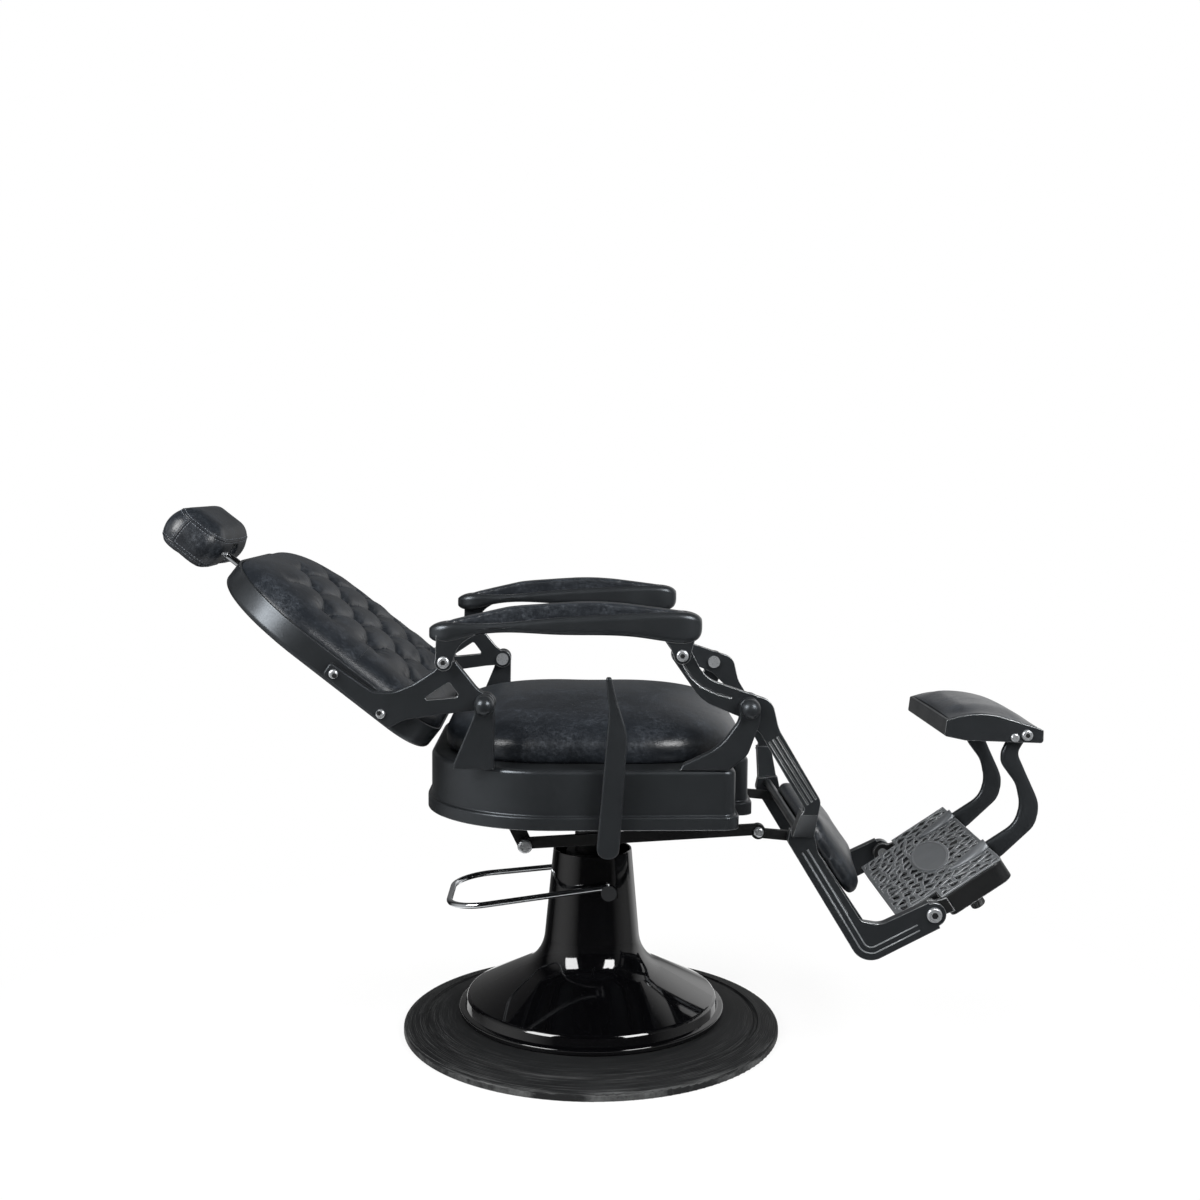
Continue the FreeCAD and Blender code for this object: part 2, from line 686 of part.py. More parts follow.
def button_place(row, step):
    """Place of a button by its row and by half columns from the middle."""
    return (f"({row - (TUFT_ROWS - 1) / 2}) * tuft_pitch_along - {back_middle}",
            f"({step / 2}) * tuft_pitch_across")


def pleat_outline(first, last):
    """Narrow rectangle from one button to another, with its width along the back."""
    half = "tuft_pleat_width / 2"
    return [(f"{first[0]} - {half}", first[1]), (f"{first[0]} + {half}", first[1]),
            (f"{last[0]} + {half}", last[1]), (f"{last[0]} - {half}", last[1])]


def tapered_pocket(body, sketch, depth, taper):
    pocket = extrude(body, sketch, depth, "Pocket")
    pocket.setExpression("TaperAngle", bound(taper))


for lean in (1, -1):
    pleats = new_sketch(back_cushion, "XY_Plane", cushion_top)
    for row, step, rows in ((0, -4, 4), (0, -2, 4), (0, 0, 4), (0, 2, 2), (2, -4, 2)):
        last_button = button_place(row + rows, lean * (step + rows))
        outline = pleat_outline(button_place(row, lean * step), last_button)
        trace(pleats, outline if lean > 0 else outline[::-1])
    tapered_pocket(back_cushion, pleats, "tuft_pleat_depth", "-tuft_taper")
hollows = new_sketch(back_cushion, "XY_Plane", cushion_top)
for row in range(TUFT_ROWS):
    for step in range(row % 2 - TUFT_COLUMNS, TUFT_COLUMNS + 1, 2):
        add_circle(hollows, *button_place(row, step), "tuft_hollow_radius")
tapered_pocket(back_cushion, hollows, "tuft_depth", "-tuft_taper")

arm_rear = ("arm_rear_pivot_x", "arm_rear_pivot_height")
arm_front = ("arm_front_pivot_x", "arm_front_pivot_height")
bracket_outer = "bracket_inner + bracket_thickness"
screw_places = [(shifted(hinge[0], -226), shifted(hinge[1], 43)),
                (shifted(hinge[0], -156), shifted(hinge[1], -17))]
bracket_form = [(-243, 42, "6"), (-145, -39, "6"), (-120, -26, "30"), (-30, -13, "30"), (6, -10), (8, 8),
                (-12, 22, "30"), ("arm_rear_pivot_x + 17", "arm_rear_pivot_height - 1"),
                ("arm_rear_pivot_x - 5", "arm_rear_pivot_height + 3"),
                ("arm_rear_pivot_x - 13", "arm_rear_pivot_height - 13", "20"), (-107, 28, "40"),
                (-138, 15, "40"), (-168, 16, "25"), (-231, 60, "5")]
bracket_window = [(-97, 3, "3"), (-37, 9, "4"), (-54, 32, "4")]
for side, sign in SIDES.items():
    bracket = new_body(f"back_bracket_{side}")
    plate(bracket, bracket_form, "bracket_inner", bracket_outer, sign, hinge)
    rod(bracket, [hinge], "pivot_pin_radius + 10", "bracket_inner", bracket_outer, sign)
    rod(bracket, [arm_rear], "arm_pin_radius + 9", "bracket_inner", bracket_outer, sign)
    soften(bracket, "edge_round", on_face(bracket_outer, sign))
    plate(bracket, bracket_window, "bracket_inner", bracket_outer, sign, hinge, kind="Pocket")
    rod(bracket, [hinge], "pivot_pin_radius + running_clearance", "bracket_inner", bracket_outer, sign,
        "Pocket")
    rod(bracket, [arm_rear], "arm_pin_radius", "bracket_inner", bracket_outer, sign, "Pocket")
    rod(bracket, screw_places, "screw_radius", "bracket_inner", bracket_outer, sign, "Pocket")


def headed_pin(body, places, radius, inner, seat, head_radius, head_height, sign):
    """Pins from an inner face out to a seat, with a rounded head standing on the seat."""
    rod(body, places, radius, inner, seat, sign)
    rod(body, places, head_radius, seat, f"{seat} + {head_height}", sign)
    crest = number(f"{seat} + {head_height}")
    soften(body, f"0.6 * {head_height}", lambda edge: abs(edge.CenterOfMass.y + sign * crest) < 1e-4)


bracket_screws = new_body("bracket_screws")
rear_arm_screws = new_body("rear_arm_screws")
front_arm_screws = new_body("front_arm_screws")
arm_head_seat = f"{post_outer} + side_clearance"
for sign in SIDES.values():
    headed_pin(bracket_screws, screw_places, "screw_radius", "bracket_inner", bracket_outer, "7", "5", sign)
    for screws, place in ((rear_arm_screws, arm_rear), (front_arm_screws, arm_front)):
        headed_pin(screws, [place], "arm_pin_radius", "bracket_inner", arm_head_seat, "9", "5", sign)

# Headrest: post with a knuckle, and a pad on two ears that tilt on it
knuckle = ("-head_pivot_along", post_plane)
ear_inner = "knuckle_half_width + 0.2"
ear_outer = f"{ear_inner} + ear_thickness"
head_post = new_body("head_post", *hinge, "back_slope")
post_end = new_sketch(head_post, "YZ_Plane", "-head_pivot_along")
add_circle(post_end, "0", post_plane, "head_post_radius")
extrude(head_post, post_end, "head_post_length")
for sign in SIDES.values():
    rod(head_post, [knuckle], "knuckle_radius", "0", "knuckle_half_width", sign)
    rod(head_post, [knuckle], "knuckle_pin_radius", "0", ear_outer, sign)

ear_back = "-head_pivot_along - 30"
ear_web = "-head_pivot_along - 26"
ear_front = "-head_pivot_along + 11"
knuckle_hole = [(*knuckle, "knuckle_pin_radius + running_clearance")]
head_bracket = new_body("head_bracket", *hinge, "back_slope")
for sign in SIDES.values():
    plate(head_bracket, [(ear_back, -11), (ear_front, -11, "10.5"), (ear_front, 11, "10.5"), (ear_back, 11)],
          ear_inner, ear_outer, sign, ("0", post_plane), knuckle_hole)
    plate(head_bracket, [(ear_back, -11), (ear_web, -11), (ear_web, 11), (ear_back, 11)],
          "0", ear_inner, sign, ("0", post_plane))

HEAD_CROWN = ((0, 16, 14), (0.18, 4, 3), (0.42, 0, 0), (0.68, 4, 4), (0.88, 14, 16), (1, 30, 38))
head_bottom = "-head_post_plane - 30"
head_middle = "head_pivot_along - 22 + head_length / 2"
head_room = f"{ear_outer} + soft_clearance"
room_back = f"{head_middle} - head_pivot_along - 30"
head_pad = new_body("head_pad", f"rear_pivot_x - ({head_middle}) * cos(back_slope)",
                    f"rear_pivot_height + ({head_middle}) * sin(back_slope)", "back_slope")
padded(head_pad, "head_length / 2", "head_half_width", "34", head_bottom, "head_thickness", HEAD_CROWN)
slab(head_pad, [(room_back, f"-({head_room})"), ("head_length", f"-({head_room})"),
                ("head_length", head_room), (room_back, head_room)], f"{head_bottom} - 1", "49", "Pocket")

# Armrests: cast grip lofted along its length, lugs down to the two pivots, inset pad
STATIONS = ((arm_rear, -22, 36, 50, 10), (arm_rear, -9, 30, 57, 22), (arm_rear, 36, 38, 59, 26),
            (arm_rear, 168, 42, 68, 28), (arm_front, -67, 27, 63, 29), (arm_front, -17, 20, 65, 29),
            (arm_front, 20, 22, 61, 23), (arm_front, 30, 34, 53, 10))
rear_lug = [(-12, 0), (-11, 40), (58, 48), (22, 26, "40"), (13, 0)]
front_lug = [(-13, 0), (-19, 15, "14"), (-34, 30), (21, 32), (17, 18, "10"), (12, 0)]
pad_rear = "arm_rear_pivot_x + 3"
pad_front = "arm_front_pivot_x + 9"
pad_middle = f"({pad_front} + {pad_rear}) / 2"
pad_half = f"({pad_front} - ({pad_rear})) / 2"
pad_top = [(f"{pad_rear} - 20", "arm_pad_floor"), ("arm_rear_pivot_x + 98", "arm_pad_floor + 27", "150"),
           ("arm_front_pivot_x - 122", "arm_pad_floor + 37", "500"),
           (f"{pad_front} + 20", "arm_pad_floor + 18"), (f"{pad_front} + 20", "arm_pad_floor + 70"),
           (f"{pad_rear} - 20", "arm_pad_floor + 70")]


def arm_recess(inset, middle):
    """Plan of the inset pad with round ends, drawn in by a distance."""
    half = f"arm_pad_half_width - {inset}"
    corners = rounded_box(f"{pad_half} - {inset}", half, f"0.95 * ({half})")
    return [(f"{pad_middle} + {x}", f"{middle} + {y}", radius) for x, y, radius in corners]


def pad_rim(edge):
    """Test for the edges round the top of an inset pad."""
    box = edge.BoundBox
    upright = box.XLength < 0.01 and box.YLength < 0.01
    return box.ZMin > number("arm_pad_floor") + 1 and not upright


for side, sign in SIDES.items():
    middle = f"{-sign} * arm_centre"
    frame = new_body(f"armrest_frame_{side}")
    sections = []
    for pivot, ahead, low, high, half in STATIONS:
        section = new_sketch(frame, "YZ_Plane", f"{pivot[0]} + {ahead}")
        corner = str(min(9, half - 1, (high - low) / 2 - 1))
        width = f"arm_half_width * {half} / 28"
        near, far = f"{middle} - {width}", f"{middle} + {width}"
        trace(section, [(near, low, corner), (far, low, corner), (far, high, corner), (near, high, corner)],
              ("0", pivot[1]))
        sections.append(section)
    grip = frame.newObject("PartDesign::AdditiveLoft", "Grip")
    grip.Profile = sections[0]
    grip.Sections = sections[1:]
    for pivot, form in ((arm_rear, rear_lug), (arm_front, front_lug)):
        plate(frame, form, post_inner, post_outer, sign, pivot)
        rod(frame, [pivot], "arm_pin_radius + 8", post_inner, post_outer, sign)
    rod(frame, [arm_rear], "arm_pin_radius + running_clearance", post_inner, post_outer, sign, "Pocket")
    rod(frame, [arm_front], "arm_pin_radius + open_pivot_gap", post_inner, post_outer, sign, "Pocket")
    slab(frame, arm_recess("0", middle), "arm_pad_floor", "60", "Pocket")
    pad = new_body(f"armrest_pad_{side}")
    slab(pad, arm_recess("soft_clearance", middle), "arm_pad_floor", "60")
    plate(pad, pad_top, "arm_centre - 40", "arm_centre + 40", sign, kind="Pocket")
    soften(pad, "1.5", pad_rim)


def strip(path, width):
    """Outline of a narrow band along an open path."""
    points = [FreeCAD.Vector(x, z, 0) for x, z in path]
    left, right = [], []
    for i, point in enumerate(points):
        ahead = points[min(i + 1, len(points) - 1)] - points[max(i - 1, 0)]
        across = FreeCAD.Vector(-ahead.y, ahead.x, 0).normalize() * (width / 2)
        left.append((point.x + across.x, point.y + across.y))
        right.append((point.x - across.x, point.y - across.y))
    return left + right[::-1]


# Leg rest: two cast rails that step inwards at the knee, cross bar, panel, pad and link lugs
knee = pivots["front"]
eye = ("eye_x", "eye_height")
rail_outer = "rail_inner + rail_thickness"
upper_form = [(-113, 84), (-88, 85), (-66, 42, "50"), (36, 8, "24"), (46, -34, "50"), (112, -144, "18"),
              (108, -166), (82, -166), (88, -157, "6"), (19, -42, "30"), (-3, -20, "20"), (-71, 8, "60"),
              (-116, 72)]
lower_form = [(-230, 135), (-194, 138), (-186, 100, "25"), (-115, -11, "14"), (-84, -16, "30"), (-9, 20),
              (10, -21), (-111, -84, "34"), (-234, 116, "14")]
upper_grooves = [[(32, -54), (92, -149)], [(38, -50), (98, -145)], [(44, -46), (104, -141)],
                 [(-101, 66), (-88, 45), (-72, 30), (-48, 19), (-26, 13)]]
lower_grooves = [[(-210, 99), (-147, -3)], [(-202, 104), (-138, 2)]]
knee_rings = (("front_pivot_height - 160", "front_pivot_x", 83, 109, "bracket_inner - 8", bracket_outer),
              ("eye_height + 126", "eye_x", -228, -194, "rail_inner", f"{rail_outer} + 8"))
leg_bar_place = (shifted(eye[0], -110), shifted(eye[1], -44))
for side, sign in SIDES.items():
    rail = new_body(f"leg_rail_{side}")
    for form, base, inner, outer in ((upper_form, knee, "bracket_inner", bracket_outer),
                                     (lower_form, eye, "rail_inner", rail_outer)):
        plate(rail, form, inner, outer, sign, base)
    rod(rail, [knee], "pivot_pin_radius + 14", "bracket_inner", bracket_outer, sign)
    rod(rail, [arm_front], "arm_pin_radius + 10", "bracket_inner", bracket_outer, sign)
    rod(rail, [eye], "eye_radius", "rail_inner", rail_outer, sign)
    rings = []
    for height, x, rear, front, inner, outer in knee_rings:
        ring = new_sketch(rail, "XY_Plane", height)
        near, far = (f"-({outer})", f"-({inner})") if sign > 0 else (inner, outer)
        trace(ring, [(rear, near), (front, near), (front, far), (rear, far)], (x, "0"))
        rings.append(ring)
    step = rail.newObject("PartDesign::AdditiveLoft", "Knee")
    step.Profile = rings[0]
    step.Sections = rings[1:]
    for form, base, outer in ((upper_grooves, knee, bracket_outer), (lower_grooves, eye, rail_outer)):
        for path in form:
            plate(rail, strip(path, 2.4), f"{outer} - groove_depth", outer, sign, base, kind="Pocket")
    rod(rail, [knee], "pivot_pin_radius + running_clearance", "bracket_inner", bracket_outer, sign, "Pocket")
    rod(rail, [arm_front], "arm_pin_radius", "bracket_inner", bracket_outer, sign, "Pocket")
    rod(rail, [eye], "foot_pin_radius", "rail_inner", rail_outer, sign, "Pocket")

leg_bar = new_body("leg_bar")
for sign in SIDES.values():
    rod(leg_bar, [leg_bar_place], "leg_bar_radius", "0", "rail_inner", sign)

calf_place = ("calf_top_x", "calf_top_height", "calf_slope")
calf_panel = new_body("calf_panel", *calf_place)
panel_end = "calf_length + calf_tab"
slab(calf_panel, [("0", "-rail_inner"), (panel_end, "-rail_inner", "12"), (panel_end, "rail_inner", "12"),
                  ("0", "rail_inner")], "-calf_panel_thickness", "calf_panel_thickness")
for sign in SIDES.values():
    rod(calf_panel, [("0", "-calf_curl_radius")], "calf_curl_radius", "0", "rail_inner", sign)
windows = new_sketch(calf_panel, "XY_Plane", "-calf_panel_thickness - 1")
for i in range(6):
    across = f"({i - 2.5}) * rail_inner / 3"
    trace(windows, [("30", f"{across} - 22", "14"), ("calf_length - 30", f"{across} - 22", "14"),
                    ("calf_length - 30", f"{across} + 22", "14"), ("30", f"{across} + 22", "14")])
for i in range(12):
    add_circle(windows, "calf_length + calf_tab / 2", f"({i - 5.5}) * rail_inner / 6.5", "7")
extrude(calf_panel, windows, "calf_panel_thickness + 2", "Pocket").Reversed = True

CALF_CROWN = ((0, 6, 6), (0.25, 0, 0), (0.55, 4, 6), (0.8, 18, 24), (0.93, 36, 56), (1, 60, 96))
calf_middle = "calf_length / 2 - 4"
calf_pad = new_body("calf_pad", f"calf_top_x + ({calf_middle}) * cos(calf_slope)",
                    f"calf_top_height - ({calf_middle}) * sin(calf_slope)", "calf_slope")
padded(calf_pad, "calf_length / 2 + 3", "calf_pad_half_width", "44", "0", "calf_pad_height", CALF_CROWN)

# Recline link: lugs on the calf panel, link bars, and cranks on a shaft through the seat frame
link_outer = "link_inner + link_thickness"
bar_inner = f"{link_outer} + side_clearance"
bar_outer = f"{bar_inner} + link_thickness"
link_ahead = "(link_front_x - calf_top_x)"
link_above = "(link_front_height - calf_top_height)"
lug_eye = (f"{link_ahead} * cos(calf_slope) - {link_above} * sin(calf_slope)",
           f"{link_ahead} * sin(calf_slope) + {link_above} * cos(calf_slope)")
link_front = ("link_front_x", "link_front_height")
link_rear = ("link_rear_x", "link_rear_height")
crank_place = crank_axis[0]
link_lugs = new_body("link_lugs", *calf_place)
for sign in SIDES.values():
    plate(link_lugs, [(-10, -6), ("8", "-calf_panel_thickness"), ("29", "-calf_panel_thickness"), (8, -8)],
          "link_inner", link_outer, sign, lug_eye)
    rod(link_lugs, [lug_eye], "12", "link_inner", link_outer, sign)
    rod(link_lugs, [lug_eye], "link_bolt_radius", "link_inner", link_outer, sign, "Pocket")

link_bars = new_body("link_bars")
crank_shaft = new_body("crank_shaft")
link_front_bolts = new_body("link_front_bolts")
link_rear_bolts = new_body("link_rear_bolts")
bolt_seat = f"{bar_outer} + side_clearance"
for sign in SIDES.values():
    plate(link_bars, [(link_rear[0], "link_rear_height + link_rise - link_half_height"),
                      (link_front[0], "link_front_height + link_rise - link_half_height"),
                      (link_front[0], "link_front_height + link_rise + link_half_height"),
                      (link_rear[0], "link_rear_height + link_rise + link_half_height")],
          bar_inner, bar_outer, sign)
    rod(link_bars, [link_front, link_rear], "link_half_height + 3", bar_inner, bar_outer, sign)
    rod(link_bars, [link_front], "link_bolt_radius + running_clearance", bar_inner, bar_outer, sign, "Pocket")
    rod(link_bars, [link_rear], "link_bolt_radius + link_slack", bar_inner, bar_outer, sign, "Pocket")
    rod(crank_shaft, [crank_place], "crank_shaft_radius", "0", link_outer, sign)
    plate(crank_shaft, [(link_rear[0], link_rear[1]), (shifted(link_rear[0], 10), shifted(link_rear[1], 6)),
                        (shifted(crank_place[0], 12), shifted(crank_place[1], 6)),
                        (shifted(crank_place[0], -12), shifted(crank_place[1], -6)),
                        (shifted(link_rear[0], -10), shifted(link_rear[1], -6))],
          "link_inner", link_outer, sign)
    rod(crank_shaft, [crank_place], "13", "link_inner", link_outer, sign)
    rod(crank_shaft, [link_rear], "11", "link_inner", link_outer, sign)
    rod(crank_shaft, [link_rear], "link_bolt_radius", "link_inner", link_outer, sign, "Pocket")
    headed_pin(link_front_bolts, [link_front], "link_bolt_radius", "link_inner", bolt_seat, "8", "6", sign)
    headed_pin(link_rear_bolts, [link_rear], "link_bolt_radius", "link_inner", bolt_seat, "11", "6", sign)


# Foot rest: folding platform on two hinge pins, S-shaped arms and a tilting arched pad
def on_foot(ahead, above):
    """World place from a place in the platform's own frame."""
    return (f"eye_x + ({ahead}) * cos(foot_slope) - ({above}) * sin(foot_slope)",
            f"eye_height + ({ahead}) * sin(foot_slope) + ({above}) * cos(foot_slope)")


foot_lug_inner = "foot_half_width - 8"
plate_bottom = "foot_top - foot_plate_thickness"
foot_platform = new_body("foot_platform", *eye, "-foot_slope")


def foot_plan(rear, front, half, inset, round_rear, round_front):
    """Plan of one part of the platform, drawn in by a distance."""
    side = f"{half} - {inset}"
    first, last = f"{rear} + {inset}", f"{front} - {inset}"
    return [(first, f"-({side})", round_rear), (last, f"-({side})", round_front),
            (last, side, round_front), (first, side, round_rear)]


wide = ("foot_shoulder", "foot_outer_end", "foot_half_width")
neck = ("-foot_inner_end", "foot_shoulder + 20", "foot_neck_half_width")
slab(foot_platform, foot_plan(*wide, "0", "10", "20"), "foot_top - foot_apron", "foot_apron")
slab(foot_platform, foot_plan(*neck, "0", "22", "2"), "foot_top - foot_neck_depth", "foot_neck_depth")
soften(foot_platform, "edge_round", rim_at("foot_top"))
slab(foot_platform, foot_plan(*neck, "foot_wall", "16", "2"), "foot_top - foot_neck_depth",
     "foot_neck_depth - foot_plate_thickness", "Pocket")
slab(foot_platform, foot_plan(*wide, "foot_wall", "5", "14"), "foot_top - foot_apron",
     "foot_apron - foot_plate_thickness", "Pocket")
for sign in SIDES.values():
    plate(foot_platform, [(-4, -14), (32, -22), (32, 3), (-4, 14)], foot_lug_inner, "foot_half_width", sign)
    rod(foot_platform, [("0", "0")], "foot_lug_radius", foot_lug_inner, "foot_half_width", sign)
    rod(foot_platform, [("0", "0")], "foot_pin_radius + running_clearance", foot_lug_inner, "foot_half_width",
        sign, "Pocket")
LATTICE_PITCH = 18
for start, side, rows, columns in (("foot_shoulder + 12", "-162", 5, 18),
                                   ("12 - foot_inner_end", "-126", 3, 14)):
    opening = new_sketch(foot_platform, "XY_Plane", "foot_top + 1")
    trace(opening, [(0, 0), (12, -6), (12, 6), (0, 12)], (start, side))
    first_opening = extrude(foot_platform, opening, "foot_plate_thickness + 2", "Pocket")
    lattice = foot_platform.newObject("PartDesign::MultiTransform", "Lattice")
    lattice.Originals = [first_opening]
    runs = []
    for axis, count in (("H_Axis", rows), ("V_Axis", columns)):
        run = foot_platform.newObject("PartDesign::LinearPattern", "Run")
        run.Direction = (opening, [axis])
        run.Length = LATTICE_PITCH * (count - 1)
        run.Occurrences = count
        runs.append(run)
    lattice.Transformations = runs
    foot_platform.Tip = lattice
medallion = new_sketch(foot_platform, "XY_Plane", plate_bottom)
add_circle(medallion, "(foot_shoulder + foot_outer_end) / 2", "0", "medallion_radius")
extrude(foot_platform, medallion, "foot_plate_thickness + 2.5")

foot_bumpers = new_body("foot_bumpers", *eye, "-foot_slope")
bumper_ends = new_sketch(foot_bumpers, "XY_Plane", plate_bottom)
for sign in SIDES.values():
    add_circle(bumper_ends, "foot_shoulder + 46", f"{sign} * (foot_half_width - 25)", "12")
extrude(foot_bumpers, bumper_ends, "foot_apron + 12").Reversed = True
soften(foot_bumpers, "3", rim_at(f"{plate_bottom} - foot_apron - 12"))

foot_hinge_pins = new_body("foot_hinge_pins")
for sign in SIDES.values():
    headed_pin(foot_hinge_pins, [eye], "foot_pin_radius", foot_lug_inner, rail_outer, "12", "5", sign)

pad_axis = ("pad_pivot_x", "pad_pivot_height")
pad_stop = (shifted(pad_axis[0], -19.5), shifted(pad_axis[1], -4.3))
arm_outer = "foot_arm_inner + foot_arm_thickness"
arm_form = [on_foot("foot_outer_end - 80", "foot_top"), on_foot("foot_outer_end", "foot_top"),
            on_foot("foot_outer_end", "foot_top - 26"), (25, -154, "40"), (32, -118, "50"), (-8, -33, "12"),
            (8, -6), (-8, -6), (-12, -9), (-25, -9), (-35, -32, "14"), (-35, -50, "20"), (-9, -84, "40"),
            (-1, -118, "45"), (-9, -150, "40"), (*on_foot("foot_outer_end - 12", "foot_top + 10"), "20"),
            on_foot("foot_outer_end - 80", "foot_top + 3")]
for side, sign in SIDES.items():
    arm = new_body(f"foot_arm_{side}")
    plate(arm, arm_form, "foot_arm_inner", arm_outer, sign, pad_axis)
    rod(arm, [pad_axis], "pad_pin_radius + 5", "foot_arm_inner", arm_outer, sign)
    rod(arm, [pad_axis], "pad_pin_radius", "foot_arm_inner", arm_outer, sign, "Pocket")

slot_inner = "foot_arm_inner - 2"
slot_outer = f"{arm_outer} + 2"
pad_tray = new_body("pad_tray")
pad_pivot_pins = new_body("pad_pivot_pins")
pad_stop_pins = new_body("pad_stop_pins")
arch = ((-131, 24), (-76, 40), (27, 8.5))
for sign in SIDES.values():
    plate(pad_tray, [(-134, -2, "4"), (*arch[0], "3"), (*arch[1], "140"), (*arch[2], "3"), (27, -13, "5"),
                     (-100, -9)], "0", "pad_half_width", sign, pad_axis)
for sign in SIDES.values():
    plate(pad_tray, [(-28, -40), (60, -40), (60, 14), (-28, 14)], slot_inner, slot_outer, sign, pad_axis,
          kind="Pocket")
    rod(pad_tray, [pad_axis], "pad_pin_radius + running_clearance", f"{slot_inner} - 10", "pad_half_width",
        sign, "Pocket")
    rod(pad_tray, [pad_stop], "screw_radius", slot_outer, "pad_half_width", sign, "Pocket")
    headed_pin(pad_pivot_pins, [pad_axis], "pad_pin_radius", f"{slot_inner} - 9.5",
               "pad_half_width + soft_clearance", "9", "5", sign)
    headed_pin(pad_stop_pins, [pad_stop], "screw_radius", f"{slot_inner} + 1", "pad_half_width",
               "7", "4", sign)



def between(first, last, ahead):
    """Place on the straight line through two places."""
    share = (ahead - first[0]) / (last[0] - first[0])
    return ahead, first[1] + share * (last[1] - first[1])


pad_cushion = new_body("pad_cushion")
for sign in SIDES.values():
    plate(pad_cushion, [between(arch[0], arch[1], -128), (*arch[1], "140"), between(arch[1], arch[2], 20),
                        (21, 18, "4"), (-75.5, 49, "150"), (-129, 32, "5")],
          "0", "pad_half_width - 4", sign, pad_axis)

# Check every object, then write one file per piece
doc.recompute()
for item in doc.Objects:
    if "Invalid" in item.State or "Error" in item.State:
        raise RuntimeError(f"{item.Label} did not build")
for node in nodes:
    if node.Shape.isNull() or not node.Shape.isValid():
        raise RuntimeError(f"{node.Label} has no sound shape")
os.makedirs("parts", exist_ok=True)
for node in nodes:
    node.Shape.exportStep(f"parts/{node.Label}.step")
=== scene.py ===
"""Barber chair: leather pads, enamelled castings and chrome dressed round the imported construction."""

import math

import bmesh
import bpy
import numpy as np
from bpy.props import FloatProperty, FloatVectorProperty, IntProperty, PointerProperty
from mathutils import Matrix, Vector
from mathutils.bvhtree import BVHTree


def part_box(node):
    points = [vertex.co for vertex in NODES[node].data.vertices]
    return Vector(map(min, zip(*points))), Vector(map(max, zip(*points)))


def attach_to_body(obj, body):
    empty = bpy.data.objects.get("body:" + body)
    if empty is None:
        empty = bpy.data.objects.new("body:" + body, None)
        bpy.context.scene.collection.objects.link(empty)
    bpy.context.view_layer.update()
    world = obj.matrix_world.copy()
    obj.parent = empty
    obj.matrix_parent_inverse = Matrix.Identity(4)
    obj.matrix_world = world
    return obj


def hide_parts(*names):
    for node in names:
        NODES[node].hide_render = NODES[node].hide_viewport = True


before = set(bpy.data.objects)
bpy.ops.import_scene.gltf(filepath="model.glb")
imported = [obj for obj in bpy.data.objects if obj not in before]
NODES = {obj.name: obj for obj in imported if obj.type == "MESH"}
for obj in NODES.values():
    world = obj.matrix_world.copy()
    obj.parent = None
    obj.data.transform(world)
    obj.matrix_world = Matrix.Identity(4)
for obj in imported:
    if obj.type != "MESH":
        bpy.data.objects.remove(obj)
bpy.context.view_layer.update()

bl_info = {
    "name": "Barber chair",
    "version": (1, 0, 0),
    "blender": (4, 5, 0),
    "location": "View3D > Sidebar > Barber chair",
    "description": "Leather, castings, enamel and chrome of a reclining barber chair",
    "category": "Object",
}

MM = 0.001
SIDES = (("right", -1), ("left", 1))


def srgb(hex_text):
    """Linear RGB of an sRGB hex colour."""
    share = np.array([int(hex_text[i:i + 2], 16) / 255 for i in (1, 3, 5)])
    return np.where(share <= 0.04045, share / 12.92, ((share + 0.055) / 1.055) ** 2.4).tolist()


def colour(name, hex_text, use):
    """Colour setting of the sidebar."""
    return FloatVectorProperty(name=name, description=use, subtype="COLOR", size=3, min=0, max=1,
                               default=srgb(hex_text))


def length(name, metres, use):
    """Length setting of the sidebar."""
    return FloatProperty(name=name, description=use, subtype="DISTANCE", unit="LENGTH", min=0, default=metres)


class ChairColours(bpy.types.PropertyGroup):
    """Colours of the chair's finishes."""

    hide: colour("Hide", "#0f1216", "Dyed ground of the leather")
    hide_rubbed: colour("Hide, rubbed", "#4a5058", "Leather where the dye is rubbed back")
    thread: colour("Thread", "#70757c", "Sewing thread of the seams")
    casting: colour("Casting", "#3d4043", "Dark satin enamel of arms, rails and pan")
    # Lighter colour along casting edges: enamel worn thin, and a painted highlight for the light the edges
    # catch
    casting_edge_wear_and_highlight: colour("Casting edge", "#c4c7c9", "Enamel worn thin along casting edges")
    platform: colour("Platform", "#66696c", "Lighter satin enamel of the foot platform's openwork")
    # Painted shade: near-black on the platform body darkens its sides and what shows through the openwork's
    # holes
    apron_shade: colour("Apron", "#1a1b1c", "Nearly black enamel on the foot platform's sides and underside")
    enamel: colour("Enamel", "#040405", "Gloss black enamel of the bell")
    rubber: colour("Rubber", "#121314", "Moulded ring round the base")
    rubber_dust: colour("Rubber, dusty", "#6a6b6b", "Scuffed and dusty rubber")
    chrome: colour("Chrome", "#d3d6d9", "Plated post, screws and pump lever")
    link: colour("Link", "#0f1011", "Matte black paint of the links")
    floor: colour("Floor", "#f2f2f1", "Studio floor")
    flag: colour("Flag", "#0a0a0b", "Black cloth round the studio that keeps reflections dark")


class ChairForms(bpy.types.PropertyGroup):
    """Sizes of the chair's upholstery."""

    pad_swell: length("Pad swell", 0.004, "Most that a small pad's cover stands out when it is filled")
    voxel: length("Cover mesh", 0.005, "Mesh size of a filled cover")
    pressure: FloatProperty(name="Filling", description="Pressure of the filling", min=0, default=4.0)
    tuft_hollow: length("Button hollow", 0.03, "Depth of the back's button hollows below its crown")
    tuft_pleat: length("Pleat", 0.009, "Depth of the pleats midway between two buttons")
    border: length("Border", 0.086, "Width of the plain roll round the tufted field")
    button_radius: length("Button", 0.0085, "Radius of a covered button")
    web: length("Web", 0.0062, "Width of the webs in the foot platform's openwork")
    rounding: length("Rounding", 0.003, "Radius on the sharp corners of rails, arms and lever")
    stitch_length: length("Stitch", 0.0032, "Length of one stitch")
    stitch_gap: length("Stitch gap", 0.0016, "Gap between stitches")
    around: IntProperty(name="Around", description="Grid steps round the back cushion", min=48, default=480)


def looks():
    return bpy.context.scene.chair_colours


def forms():
    return bpy.context.scene.chair_forms


